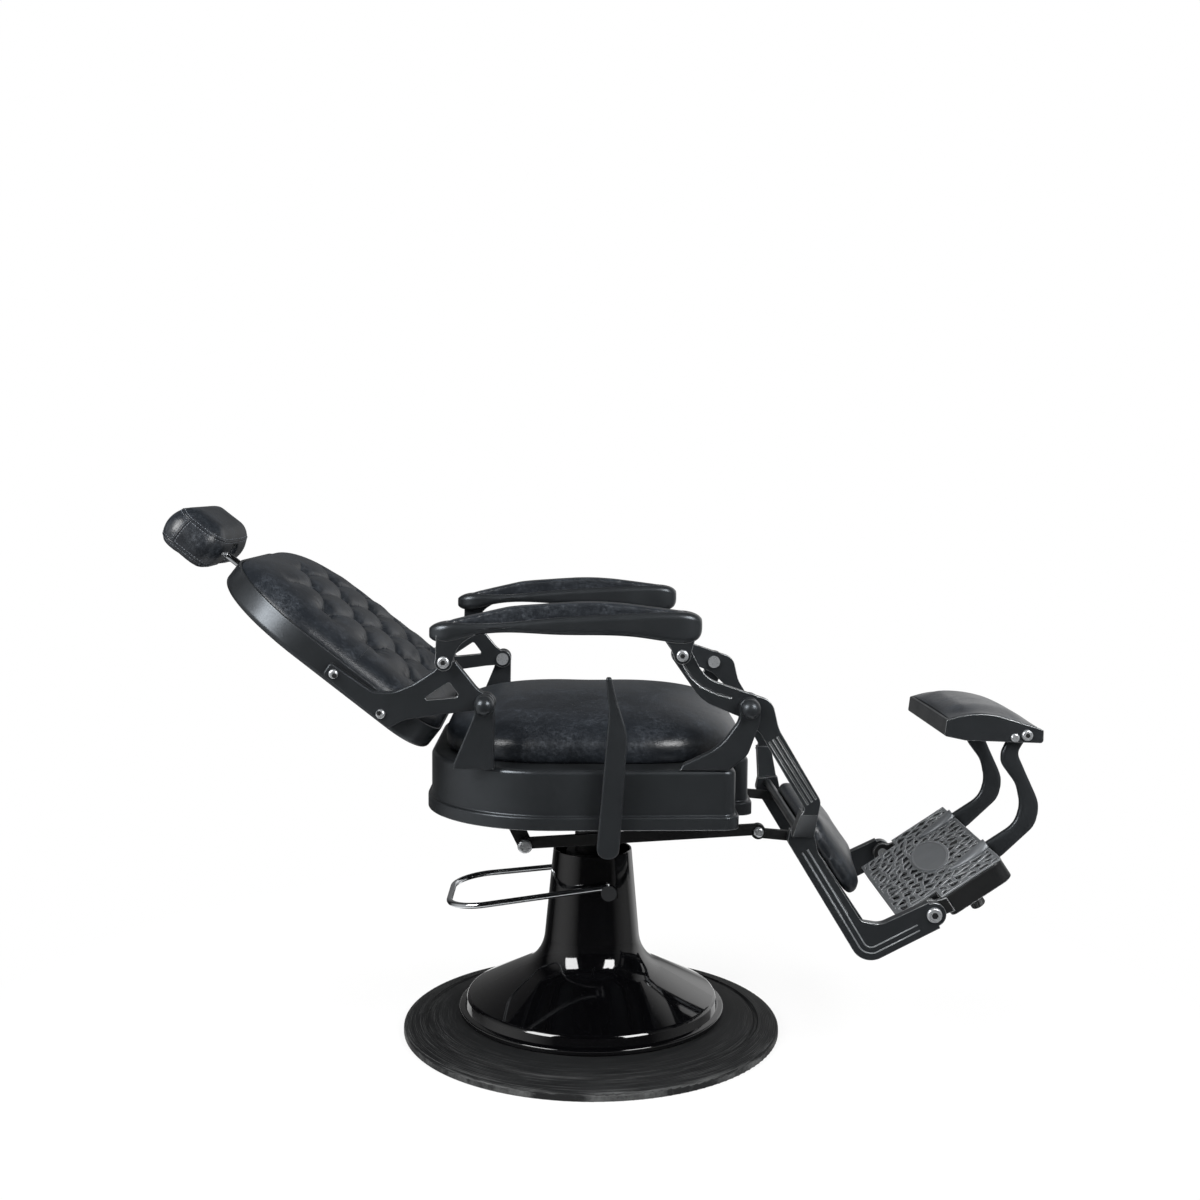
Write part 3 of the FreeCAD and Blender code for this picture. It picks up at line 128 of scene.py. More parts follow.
def node(tree, kind, inputs=None, **settings):
    """Adds a shader node: settings are its properties, inputs are values or links for its sockets."""
    made = tree.nodes.new(f"ShaderNode{kind}")
    for key, value in settings.items():
        setattr(made, key, value)
    for key, value in (inputs or {}).items():
        if isinstance(value, bpy.types.NodeSocket):
            tree.links.new(value, made.inputs[key])
        else:
            made.inputs[key].default_value = value
    return made


def rgba(values):
    return (*values, 1.0)


def per_mm(size):
    """Texture scale whose pattern repeats at about that size in millimetres."""
    return 1000.0 / size


def wave_scale(period):
    """Scale of a wave texture with that period in millimetres, which is 2 pi / (20 scale) in metres."""
    return math.pi / (10 * period * MM)


def object_place(tree):
    """Object coordinates of the point that is shaded."""
    return node(tree, "TexCoord").outputs["Object"]


def noise(tree, place, size, detail=2.0, rough=0.5):
    """Noise from 0 to 1 with a pattern of about that size in millimetres."""
    return node(tree, "TexNoise", {"Vector": place, "Scale": per_mm(size), "Detail": detail,
                                   "Roughness": rough}).outputs["Fac"]


def spread(tree, value, low=0.0, high=1.0, least=0.0, most=1.0):
    """Takes a value from the range low to high to the range least to most, and keeps it in there."""
    return node(tree, "MapRange", {"Value": value, "From Min": low, "From Max": high, "To Min": least,
                                   "To Max": most}).outputs[0]


def maths(tree, kind, *values):
    return node(tree, "Math", dict(enumerate(values)), operation=kind).outputs[0]


def vector_maths(tree, kind, *values):
    """Vector sum whose result is a number."""
    return node(tree, "VectorMath", dict(enumerate(values)), operation=kind).outputs["Value"]


def blend(tree, share, first, second):
    """Colour between two colours."""
    return node(tree, "Mix", {0: share, 6: rgba(first), 7: rgba(second)}, data_type="RGBA").outputs[2]


def bump(tree, height, strength, depth, over=None, invert=False):
    """Normal with bumps of that depth in millimetres, over another normal if one is given."""
    inputs = {"Height": height, "Strength": strength, "Distance": depth * MM}
    if over is not None:
        inputs["Normal"] = over
    return node(tree, "Bump", inputs, invert=invert).outputs[0]


def rim_wear_and_highlight(tree, radius, samples, low, high, most=1.0):
    """Normal with its corners rounded by a radius in millimetres, and how far it leaves the flat normal."""
    flat = node(tree, "NewGeometry").outputs["Normal"]
    corner = node(tree, "Bevel", {"Radius": radius * MM}, samples=samples).outputs[0]
    return corner, spread(tree, vector_maths(tree, "DOT_PRODUCT", flat, corner), low, high, most=most)


def seen_directly(tree):
    """1 for what the camera, a reflection or a glass shows, 0 for light on the way to a dull surface."""
    path = node(tree, "LightPath")
    shown = path.outputs["Is Camera Ray"]
    for ray in ("Is Glossy Ray", "Is Transmission Ray"):
        shown = maths(tree, "MAXIMUM", shown, path.outputs[ray])
    return shown


def new_material(name, **constants):
    """Material with one principled shader, which gets the constant values."""
    material = bpy.data.materials.new(name)
    material.use_nodes = True
    tree = material.node_tree
    tree.nodes.clear()
    shader = node(tree, "BsdfPrincipled", {key.replace("_", " "): value for key, value in constants.items()})
    node(tree, "OutputMaterial", {"Surface": shader.outputs[0]})
    return material, tree, shader


def join(tree, shader, **links):
    for key, value in links.items():
        tree.links.new(value, shader.inputs[key.replace("_", " ")])


def distressed_cowhide():
    """Corrected-grain cowhide, dyed blue-black, then rubbed and waxed by hand.

    The eye sees a dark ground with cloudy grey rub marks, a pebbled grain and a soft waxy shine that breaks up.
    """
    material, tree, shader = new_material("distressed_cowhide", Specular_IOR_Level=0.5, IOR=1.5)
    place = object_place(tree)
    cloud = spread(tree, noise(tree, place, 42, 7.0, 0.7), 0.42, 0.7)
    fleck = spread(tree, noise(tree, place, 6, 4.0, 0.75), 0.4, 0.72)
    worn = maths(tree, "MULTIPLY", cloud, fleck)
    haze = maths(tree, "MULTIPLY_ADD", worn, 0.5, 0.04)
    creased = bump(tree, noise(tree, place, 13, 4.0, 0.6), 0.35, 1.2)
    # Pebbled grain of about 1 mm on the real hide, drawn at 2.4 mm so that it shows
    grain = node(tree, "TexVoronoi", {"Vector": place, "Scale": per_mm(2.4), "Randomness": 1.0})
    pebbled = bump(tree, grain.outputs["Distance"], 0.35, 0.35, creased, invert=True)
    join(tree, shader, Base_Color=blend(tree, haze, looks().hide, looks().hide_rubbed), Normal=pebbled,
         Roughness=spread(tree, worn, least=0.32, most=0.6))
    return material


def satin_casting(name, ground, edge, rough, metallic):
    """Cast iron in satin metallic enamel: sand-cast texture, clouded sheen, lighter along its edges.

    A rounded normal softens each corner by 2 mm. Where it leaves the flat normal the colour lightens: the
    enamel is worn thin there, and a painted highlight stands in for the light that the edges catch.
    """
    material, tree, shader = new_material(name, Metallic=metallic)
    place = object_place(tree)
    corner, rim = rim_wear_and_highlight(tree, 2.0, 6, 0.985, 0.86)
    cloud = noise(tree, place, 60, 4.0, 0.6)
    # The edges lighten: worn enamel, and a painted highlight along each corner
    edge_wear_and_highlight = maths(tree, "MULTIPLY", rim, spread(tree, cloud, 0.3, 0.6, least=0.35))
    join(tree, shader, Base_Color=blend(tree, edge_wear_and_highlight, ground, edge),
         Normal=bump(tree, noise(tree, place, 1.6), 0.12, 0.12, corner),
         Roughness=spread(tree, cloud, 0.3, 0.7, rough - 0.05, rough + 0.06))
    return material


def dark_casting():
    return satin_casting("satin_enamel_on_cast_iron", looks().casting, looks().casting_edge_wear_and_highlight, 0.33, 0.8)


def platform_casting():
    return satin_casting("light_satin_enamel_on_cast_iron", looks().platform, looks().casting_edge_wear_and_highlight, 0.42, 0.5)


# Painted shade on the platform's sides and under its openwork, as near-black enamel
def painted_shade_casting():
    return satin_casting("painted_shade_enamel_on_cast_iron", looks().apron_shade, looks().casting_edge_wear_and_highlight, 0.4, 0.4)


def gloss_enamel():
    """Spun steel in gloss black enamel: deep black, sharp reflections, a slight ripple, specks of dust."""
    material, tree, shader = new_material("gloss_black_enamel", IOR=1.5, Coat_Weight=0.3, Coat_Roughness=0.04)
    place = object_place(tree)
    dust = noise(tree, place, 3, 3.0, 0.7)
    speck = spread(tree, dust, 0.68, 0.8, most=0.25)
    join(tree, shader, Base_Color=blend(tree, speck, looks().enamel, looks().rubber_dust),
         Roughness=spread(tree, dust, 0.5, 0.8, 0.05, 0.2),
         Normal=bump(tree, noise(tree, place, 22), 0.06, 0.4))
    return material


def ridged_rubber():
    """Moulded rubber ring: matte black, fine turned ridges near its edge, scuffed grey and dusty."""
    material, tree, shader = new_material("moulded_rubber", IOR=1.5, Specular_IOR_Level=0.18)
    place = object_place(tree)
    ridges = node(tree, "TexWave", {"Vector": place, "Scale": wave_scale(3), "Distortion": 0.3, "Detail": 1.0},
                  wave_type="RINGS", rings_direction="Z")
    radius = vector_maths(tree, "LENGTH", place)
    cut = maths(tree, "MULTIPLY", ridges.outputs["Fac"], spread(tree, radius, 0.235, 0.275))
    # Scuffs run round the ring: the noise is stretched along the turn
    parts = node(tree, "SeparateXYZ", {0: place})
    angle = maths(tree, "ARCTAN2", parts.outputs[1], parts.outputs[0])
    turned = node(tree, "CombineXYZ", {0: radius, 1: angle})
    stretch = node(tree, "Mapping", {"Vector": turned.outputs[0], "Scale": (per_mm(2.4), 2.5, 1.0)})
    scuff = noise(tree, stretch.outputs[0], 1 / MM, 6.0, 0.7)
    veil = maths(tree, "MULTIPLY_ADD", cut, 0.3, spread(tree, radius, 0.308, 0.319, 0.06, 0.55))
    dusty = maths(tree, "MULTIPLY", spread(tree, scuff, 0.46, 0.7), veil)
    join(tree, shader, Base_Color=blend(tree, dusty, looks().rubber, looks().rubber_dust),
         Roughness=spread(tree, scuff, least=0.5, most=0.85),
         Normal=bump(tree, scuff, 0.2, 0.4, bump(tree, cut, 0.6, 0.5)))
    return material


def bright_plate():
    """Polished chrome plate: a mirror with a trace of handling haze."""
    material, tree, shader = new_material("chrome_plate", Metallic=1.0, Base_Color=rgba(looks().chrome))
    haze = noise(tree, object_place(tree), 9, 4.0, 0.65)
    join(tree, shader, Roughness=spread(tree, haze, 0.35, 0.75, 0.05, 0.17))
    return material


def zinc_plate():
    """Bright zinc on bolts and screws: a grey mirror, half dulled by a fine haze."""
    material, tree, shader = new_material("bright_zinc", Metallic=0.86, Base_Color=rgba(looks().chrome))
    haze = noise(tree, object_place(tree), 2, 3.0, 0.6)
    join(tree, shader, Roughness=spread(tree, haze, least=0.2, most=0.4))
    return material


def matte_black_paint():
    """Flat steel bar in matte black paint: a fine dry texture, rubbed grey along its corners."""
    material, tree, shader = new_material("matte_black_paint", IOR=1.5, Specular_IOR_Level=0.35)
    corner, rim = rim_wear_and_highlight(tree, 0.8, 4, 0.98, 0.8, most=0.35)
    dry = noise(tree, object_place(tree), 1.2, 3.0, 0.6)
    join(tree, shader, Base_Color=blend(tree, rim, looks().link, looks().rubber_dust),
         Roughness=spread(tree, dry, least=0.42, most=0.6), Normal=bump(tree, dry, 0.15, 0.1, corner))
    return material


def birch_plywood():
    """Sawn birch plywood: pale wood with long grain, seen only at a board's edge."""
    material, tree, shader = new_material("birch_plywood", Roughness=0.65)
    along = node(tree, "Mapping", {"Vector": object_place(tree), "Scale": (0.12, 1.0, 1.0)})
    grain = noise(tree, along.outputs[0], 3, 5.0)
    join(tree, shader, Base_Color=blend(tree, grain, srgb("#8a6a45"), srgb("#b7946a")))
    return material


def waxed_thread():
    """Twisted polyester thread, waxed: a plain dark grey with a twist every 1.2 mm."""
    material, tree, shader = new_material("waxed_thread", Roughness=0.55)
    twist = node(tree, "TexWave", {"Vector": object_place(tree), "Scale": wave_scale(1.2)},
                 bands_direction="DIAGONAL")
    join(tree, shader, Base_Color=blend(tree, twist.outputs["Fac"], looks().hide, looks().thread))
    return material


FINISHES = {}


def finish(make):
    """The material that a function makes, made once."""
    if make not in FINISHES:
        FINISHES[make] = make()
    return FINISHES[make]


def dress(obj, make):
    """Gives an object one finish on all its faces."""
    obj.data.materials.clear()
    obj.data.materials.append(finish(make))


def shade(obj, smooth):
    """Shades an object smooth or flat."""
    obj.data.polygons.foreach_set("use_smooth", np.full(len(obj.data.polygons), smooth))


def attach(obj, body, stands_for=None):
    """Lets an object ride on a body, in place of a construction solid if one is named."""
    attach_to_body(obj, body)
    if stands_for:
        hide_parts(stands_for)


def new_object(name, points, faces, make):
    """Mesh object from points in metres and faces as index rows, smooth shaded."""
    mesh = bpy.data.meshes.new(name)
    mesh.from_pydata(points.reshape(-1, 3).tolist(), [], [row.tolist() for row in faces])
    mesh.update()
    obj = bpy.data.objects.new(name, mesh)
    bpy.context.scene.collection.objects.link(obj)
    shade(obj, True)
    dress(obj, make)
    return obj


def full_turn(steps):
    """Angles of even steps round a circle."""
    return np.linspace(0, 2 * math.pi, steps, endpoint=False)


def grid_faces(rows, columns, closed=True):
    """Quads of a grid stored row by row; in a closed grid the last point of a row joins its first."""
    i, j = np.indices((rows - 1, columns if closed else columns - 1)).reshape(2, -1)
    here, along = i * columns + j, i * columns + (j + 1) % columns
    return np.stack([here, along, along + columns, here + columns], axis=1)


def tube_faces(rows, columns):
    """Faces of a closed grid with a lid on each end."""
    ring = np.arange(columns)
    return [*grid_faces(rows, columns), ring[::-1], (rows - 1) * columns + ring]


def xyz(*parts):
    """Rows of three from three arrays or numbers, such as the coordinates of points."""
    return np.stack(np.broadcast_arrays(*parts), axis=-1)


def upright(points, origin, slope):
    """Turns local points in millimetres about the Y axis and moves them; gives metres in the frame."""
    c, s = math.cos(math.radians(slope)), math.sin(math.radians(slope))
    x, y, z = np.moveaxis(points, -1, 0)
    return (xyz(x * c + z * s, y, z * c - x * s) + np.array(origin)) * MM


def unit(rows):
    """Vectors of the same directions with length 1."""
    return rows / np.linalg.norm(rows, axis=1, keepdims=True)


def ramp(values, low, high):
    """Smooth step of an array from 0 at low to 1 at high."""
    t = np.clip((values - low) / (high - low), 0, 1)
    return t * t * (3 - 2 * t)


def points_of(mesh):
    """Vertices of a mesh as an array."""
    flat = np.empty(len(mesh.vertices) * 3, np.float32)
    mesh.vertices.foreach_get("co", flat)
    return flat.reshape(-1, 3).astype(float)


def set_points(mesh, points):
    mesh.vertices.foreach_set("co", points.astype(np.float32).ravel())
    mesh.update()


def evaluated(obj):
    """New mesh of an object with its modifiers applied."""
    return bpy.data.meshes.new_from_object(obj.evaluated_get(bpy.context.evaluated_depsgraph_get()))


def relaxed(obj, times):
    """Applies an object's modifiers, then evens its mesh out so many times."""
    relax = obj.modifiers.new("Relax", "SMOOTH")
    relax.factor = 0.5
    relax.iterations = times
    obj.data = evaluated(obj)
    obj.modifiers.clear()


def remeshed(obj, voxel):
    """Replaces an object's mesh with an even one: voxel remesh, then relaxed to lose its steps."""
    even = obj.modifiers.new("Even", "REMESH")
    even.mode = "VOXEL"
    even.voxel_size = voxel
    relaxed(obj, 6)


def close_holes(obj):
    """Fills an object's open ends and turns all its faces outwards."""
    mesh = bmesh.new()
    mesh.from_mesh(obj.data)
    bmesh.ops.holes_fill(mesh, edges=mesh.edges)
    bmesh.ops.recalc_face_normals(mesh, faces=mesh.faces)
    mesh.to_mesh(obj.data)
    mesh.free()


FILLING_STEPS = 20


def filled(obj, rests, swell):
    """Blows an object's cover up with cloth: pressure from inside and no gravity.

    rests gives the share by which each vertex is held, from 0 to 1. No point moves further than swell.
    """
    held = obj.vertex_groups.new(name="held")
    for level in np.unique(np.round(rests, 1)):
        if level > 0:
            held.add(np.flatnonzero(np.round(rests, 1) == level).tolist(), float(level), "REPLACE")
    cloth = obj.modifiers.new("Filling", "CLOTH")
    cloth.settings.quality = 5
    cloth.settings.mass = 0.3
    cloth.settings.tension_stiffness = 15
    cloth.settings.compression_stiffness = 15
    cloth.settings.bending_stiffness = 0.6
    cloth.settings.use_pressure = True
    cloth.settings.uniform_pressure_force = forms().pressure
    cloth.settings.effector_weights.gravity = 0
    cloth.settings.vertex_group_mass = held.name
    cloth.collision_settings.use_collision = False
    cloth.point_cache.frame_start = 1
    cloth.point_cache.frame_end = FILLING_STEPS
    before = points_of(obj.data)
    scene = bpy.context.scene
    for step in range(1, FILLING_STEPS + 1):
        scene.frame_set(step)
    blown = evaluated(obj)
    move = points_of(blown) - before
    far = np.linalg.norm(move, axis=1, keepdims=True)
    move *= np.minimum(1, swell / np.maximum(far, 1e-9)) * (1 - rests[:, None])
    bpy.data.meshes.remove(blown)
    obj.modifiers.clear()
    obj.vertex_groups.clear()
    scene.frame_set(1)
    set_points(obj.data, before + move)


def finer(obj):
    """One subdivision, the same in the view and the render."""
    fine = obj.modifiers.new("Fine", "SUBSURF")
    fine.levels = 1
    fine.render_levels = 1


def upholster(obj, body, stands_for):
    """Leather pad that rides on a body in place of a construction solid."""
    shade(obj, True)
    dress(obj, distressed_cowhide)
    attach(obj, body, stands_for)


def copy_of(node_name, name):
    """Object with a copy of a construction solid's mesh, its points merged and its flat faces joined."""
    obj = bpy.data.objects.new(name, NODES[node_name].data.copy())
    bpy.context.scene.collection.objects.link(obj)
    merged = bmesh.new()
    merged.from_mesh(obj.data)
    bmesh.ops.remove_doubles(merged, verts=merged.verts, dist=0.01 * MM)
    bmesh.ops.dissolve_limit(merged, angle_limit=math.radians(0.5), verts=merged.verts, edges=merged.edges)
    merged.to_mesh(obj.data)
    merged.free()
    return obj


def pad_from_solid(node_name, name, body, voxel, swell, resting, drawn_tight=0, shape=None):
    """Filled pad grown from its construction solid.

    resting says how firmly each point is held, drawn_tight how often the filled cover is evened out, and shape
    moves the points of the upper side.
    """
    obj = copy_of(node_name, name)
    remeshed(obj, voxel)
    filled(obj, resting(points_of(obj.data)), swell)
    if shape:
        set_points(obj.data, shape(points_of(obj.data)))
    if drawn_tight:
        relaxed(obj, drawn_tight)
    finer(obj)
    upholster(obj, body, node_name)
    return obj


def cast(obj, body, stands_for):
    """Dark casting that rides on a body in place of a construction solid."""
    shade(obj, True)
    dress(obj, dark_casting)
    attach(obj, body, stands_for)


def rounded_casting(node_name, body):
    """Casting with its sharp corners rounded."""
    obj = copy_of(node_name, f"{node_name}_rounded")
    corners = obj.modifiers.new("Corners", "BEVEL")
    corners.width = forms().rounding
    corners.segments = 3
    corners.limit_method = "ANGLE"
    corners.angle_limit = math.radians(38)
    obj.modifiers.new("Flats", "WEIGHTED_NORMAL").weight = 100
    cast(obj, body, node_name)


def poured_casting(node_name, body):
    """Casting with soft, flowing corners all over."""
    obj = copy_of(node_name, f"{node_name}_poured")
    remeshed(obj, 0.5 * forms().voxel)
    relaxed(obj, 14)
    finer(obj)
    cast(obj, body, node_name)


# Beads on the lower rails, from the hinge eye in the side view: start, corner with its radius, end
EYE = (536.0, 257.0)
RAIL_FACE = 210.0
RAIL_BEADS = (((-210.0, 99.0), (-106.8, -68.9), 22.5, (-22.0, -24.7)),
              ((-202.0, 104.0), (-103.4, -56.3), 13.0, (-26.0, -16.0)))
BEAD_HALF, BEAD_RISE = 1.3, 1.1
BEAD_ROUND = 10


def bead(name, line, sign):
    """Half-round bead along a line with one rounded corner on the outer face of a leg rail."""
    start, corner, radius, end = (np.array(item) for item in line)
    back = (start - corner) / np.linalg.norm(start - corner)
    ahead = (end - corner) / np.linalg.norm(end - corner)
    half = np.arccos(back @ ahead) / 2
    middle = corner + (back + ahead) / np.linalg.norm(back + ahead) * radius / np.sin(half)
    first, last = (corner + way * radius / np.tan(half) - middle for way in (back, ahead))
    share = np.linspace(0, 1, 16)[:, None]
    arc = middle + radius * unit(first * (1 - share) + last * share)
    path = np.concatenate([start[None], arc, end[None]])
    ahead = unit(np.gradient(path, axis=0))
    turn = full_turn(BEAD_ROUND)
    x = EYE[0] + path[:, :1] - BEAD_HALF * ahead[:, 1:] * np.cos(turn)
    z = EYE[1] + path[:, 1:] + BEAD_HALF * ahead[:, :1] * np.cos(turn)
    y = sign * (RAIL_FACE + BEAD_RISE * np.sin(turn))
    # The beads take the lighter platform enamel: a painted highlight along the rails' grooves
    obj = new_object(name, xyz(x, y, z) * MM, tube_faces(len(path), BEAD_ROUND), platform_casting)
    attach(obj, "legrest")


SEAM_STEP = 0.8 * MM
SEAM_ROUND = 8
STITCH_THICK = 0.7 * MM
# Places along a stitch in half lengths from its middle, its thickness there, and the corners of its section
STITCH_ALONG = ((-1, 0.35), (-0.55, 1), (0.55, 1), (1, 0.35))
STITCH_CORNERS = ((1, 0), (0, 1), (-1, 0), (0, -1))


def nearest(surface, points):
    """Nearest places on a surface to points, and its normals there."""
    hits = [surface.find_nearest(Vector(point)) for point in points]
    return np.array([hit[0] for hit in hits]), np.array([hit[1] for hit in hits])


def sampled(at, along, values):
    """Rows of three values, given at distances along a line, at other distances."""
    return np.stack([np.interp(at, along, values[:, k]) for k in range(3)], axis=1)


def sewn_line(obj, path, name, body, rows=(), welt=0.9):
    """Seam laid on a pad: a bead of leather along the path and rows of stitches beside it.

    The path is drawn onto the pad at the nearest points. welt is the bead's radius and rows are the distances
    of the rows from the path, in millimetres.
    """
    surface = BVHTree.FromObject(obj, bpy.context.evaluated_depsgraph_get())
    along = np.concatenate([[0], np.cumsum(np.linalg.norm(np.diff(path, axis=0), axis=1))])
    even = np.linspace(0, along[-1], int(along[-1] / SEAM_STEP) + 2)
    spot, out = nearest(surface, sampled(even, along, path))
    ahead = unit(np.gradient(spot, axis=0))
    side = unit(np.cross(out, ahead))
    turn = full_turn(SEAM_ROUND)
    ring = np.cos(turn)[:, None, None] * side + np.sin(turn)[:, None, None] * out
    tube = np.swapaxes(spot + ring * welt * MM - out * 0.25 * welt * MM, 0, 1)
    seam = new_object(f"{name}_seam", tube, grid_faces(len(even), SEAM_ROUND), distressed_cowhide)
    close_holes(seam)
    attach(seam, body)
    if not rows:
        return
    size, gap = forms().stitch_length, forms().stitch_gap
    middle = np.arange(gap, along[-1] - size, size + gap) + size / 2
    way = sampled(middle, even, ahead)
    points = []
    for row in rows:
        centre, lift = nearest(surface, sampled(middle, even, spot + side * row * MM))
        across = np.cross(lift, way)
        for share, wide in STITCH_ALONG:
            for a, b in STITCH_CORNERS:
                points.append(centre + way * size / 2 * share + (across * a + lift * b) * STITCH_THICK * wide)
    one = np.array(tube_faces(len(STITCH_ALONG), len(STITCH_CORNERS)))
    each = len(STITCH_ALONG) * len(STITCH_CORNERS)
    stack = np.array(points).reshape(len(rows), each, -1, 3).swapaxes(1, 2).reshape(-1, each, 3)
    faces = (one + each * np.arange(len(stack))[:, None, None]).reshape(-1, 4)
    attach(new_object(f"{name}_stitches", stack, faces, waxed_thread), body)


# Back cushion in its own slope, in millimetres: outline, upper and lower corner, crown
BACK = dict(origin=(-167.0, 0.0, 601.0), slope=38.0)
BACK_MIDDLE = -232.5
BACK_HALF = (203.2, 261.7)
BACK_FOOT = -94.0
BACK_ROUND = (165.7, 65.7)
BACK_ROLL = 150.0
BACK_CROWN = 49.0
BACK_CURVE = 2.3
BACK_FOOT_SKIP = -12
BORDER_SEAM = -190.0

# Net of buttons and pleats: first button, half diagonals, sharpness of the pleats, reach of a button's pull
TUFT_START = -190.0
TUFT_ALONG = 43.0
TUFT_ACROSS = 86.0
TUFT_SHARP = 0.32
TUFT_PULL = 24.0
PUCKER_AT, PUCKER_WIDE, PUCKER_DEEP = 17.0, 11.0, 0.6
BUTTON_RISE = 4.2
BUTTON_ROWS, BUTTON_ROUND = 7, 20

# Seat cushion, in millimetres: outline, rounded lower edge, height over the deck
SEAT_MIDDLE = -3.0
SEAT_FOOT = 503.0
SEAT_HALF = (237.0, 252.0)
SEAT_ROUND = 165.0
SEAT_ROLL = 19.0
SEAT_HEIGHT = 87.0
SEAT_RINGS = 60

LONGEST_REACH = 420.0


def box_inset(x, y, half, corner):
    """Distance in from the outline of a box with round corners."""
    qx = np.abs(x) - half[0] + corner
    qy = np.abs(y) - half[1] + corner
    return corner - np.minimum(np.maximum(qx, qy), 0) - np.hypot(np.maximum(qx, 0), np.maximum(qy, 0))


def back_inset(x, y):
    """Distance in from the back cushion's outline, which has wide round upper and small round lower corners."""
    return box_inset(x - BACK_MIDDLE, y, BACK_HALF, np.where(x < BACK_MIDDLE, *BACK_ROUND))


def round_reach(inset, angle):
    """Distance from a cushion's middle to its outline along each angle, by halving."""
    low = np.zeros_like(angle)
    high = np.full_like(angle, LONGEST_REACH)
    for _ in range(40):
        middle = (low + high) / 2
        inside = inset(middle * np.cos(angle), middle * np.sin(angle)) > 0
        low = np.where(inside, middle, low)
        high = np.where(inside, high, middle)
    return low


def tuft_depth(x, y):
    """How far buttons and pleats draw the cover in, in millimetres.

    Buttons stand at whole values of p and q on the two diagonals, pleats on the lines of whole p or q. The
    cover sinks along the lines, most at a button, and puckers round each button.
    """
    s = (x - TUFT_START) / TUFT_ALONG
    t = y / TUFT_ACROSS
    p, q = (s + t) / 2, (s - t) / 2
    pillow = (np.abs(np.sin(math.pi * p)) * np.abs(np.sin(math.pi * q))) ** TUFT_SHARP
    near_p, near_q = p - np.round(p), q - np.round(q)
    dx, dy = (near_p + near_q) * TUFT_ALONG, (near_p - near_q) * TUFT_ACROSS
    reach = np.hypot(dx, dy)
    pull = np.exp(-(reach / TUFT_PULL) ** 1.3)
    pleat = forms().tuft_pleat / MM
    hollow = forms().tuft_hollow / MM
    depth = (pleat + (hollow - pleat) * pull) * (1 - pillow)
    folds = np.cos(8 * np.arctan2(dy, dx) + 0.6 * np.sin(7 * s + 3 * t))
    pucker = PUCKER_DEEP * np.exp(-((reach - PUCKER_AT) / PUCKER_WIDE) ** 2) * folds
    border = forms().border / MM
    return (depth + pucker) * ramp(back_inset(x, y), border - 42.0, border - 2.0)


def back_height(x, y):
    """Height of the back cushion over its board: a quarter of a superellipse, less the tufts."""
    inset = np.clip(back_inset(x, y) / BACK_ROLL, 0, 1)
    crown = BACK_CROWN * (1 - (1 - inset) ** BACK_CURVE) ** (1 / BACK_CURVE)
    slack = 0.7 * np.sin(x / 31.0 + 1.3 * np.sin(y / 47.0)) * np.sin(y / 37.0 + 0.8) * ramp(inset, 0.1, 0.3)
    return crown + slack - tuft_depth(x, y)


# Screw heads with a hexagon socket, by body: x and z, distance of the face from the chair's middle, radius
SOCKETS = {"back": ((-391.0, 642.0, 287.0, 4.0), (-325.0, 586.0, 287.0, 4.0), (-228.0, 664.0, 303.0, 4.0)),
           "legrest": ((127.0, 676.0, 303.0, 4.0), (*EYE, 215.0, 5.5)),
           "footboard": ((699.0, 530.0, 135.3, 4.0),)}
SOCKET_ENDS = (-1.2, 0.25)


def socket_shade_plugs(body, heads):
    """Dark hexagon plugs in the heads of a body's screws on both sides: painted shade that shows as sockets."""
    turn = full_turn(6)
    points, faces = [], []
    for x, z, face, radius in heads:
        for _, sign in SIDES:
            faces += [6 * len(points) + side[::-sign] for side in tube_faces(len(SOCKET_ENDS), 6)]
            for depth in SOCKET_ENDS:
                points.append(xyz(x + radius * np.cos(turn), sign * (face + depth), z + radius * np.sin(turn)))
    obj = new_object(f"{body}_sockets", np.array(points) * MM, faces, matte_black_paint)
    shade(obj, False)
    attach(obj, body)


class CHAIR_OT_castings(bpy.types.Operator):
    """Gives each part of the frame, base and linkage its finish"""

    bl_idname = "chair.castings"
    bl_label = "Castings and metal"

    def execute(self, context):
        paired = ("back_bracket", "rear_post", "front_post", "armrest_frame", "leg_rail", "foot_arm")
        by_finish = {
            dark_casting: ("back_shell", "seat_skirt", "leg_bar", "calf_panel", "recline_lever", "pad_tray",
                           "pivot_caps", *(f"{name}_{side}" for name in paired for side, _ in SIDES)),
            painted_shade_casting: ("foot_platform",),
            gloss_enamel: ("pedestal_bell",),
            ridged_rubber: ("base_ring", "foot_bumpers"),
            bright_plate: ("pump_lever", "head_post"),
            zinc_plate: ("bracket_screws", "rear_arm_screws", "front_arm_screws", "link_front_bolts",
                         "link_rear_bolts", "foot_hinge_pins", "pad_pivot_pins", "pad_stop_pins", "pivot_pins"),
            birch_plywood: ("back_board",),
        }
        given = {name: make for make, names in by_finish.items() for name in names}
        for name, obj in NODES.items():
            dress(obj, given.get(name, matte_black_paint))
        for name, body, slot in (("leg_rail_right", "legrest", "dark_casting"),
                                 ("leg_rail_left", "legrest", "dark_casting"),
                                 ("recline_lever", "recline_lever", "dark_casting"),
                                 ("pad_tray", "foot_pad", "grey_casting")):
            rounded_casting(name, body)
        for side, sign in SIDES:
            poured_casting(f"foot_arm_{side}", "footboard")
            for number, line in enumerate(RAIL_BEADS):
                bead(f"rail_bead_{side}_{number}", line, sign)
        for body, heads in SOCKETS.items():
            socket_shade_plugs(body, heads)
        return {"FINISHED"}


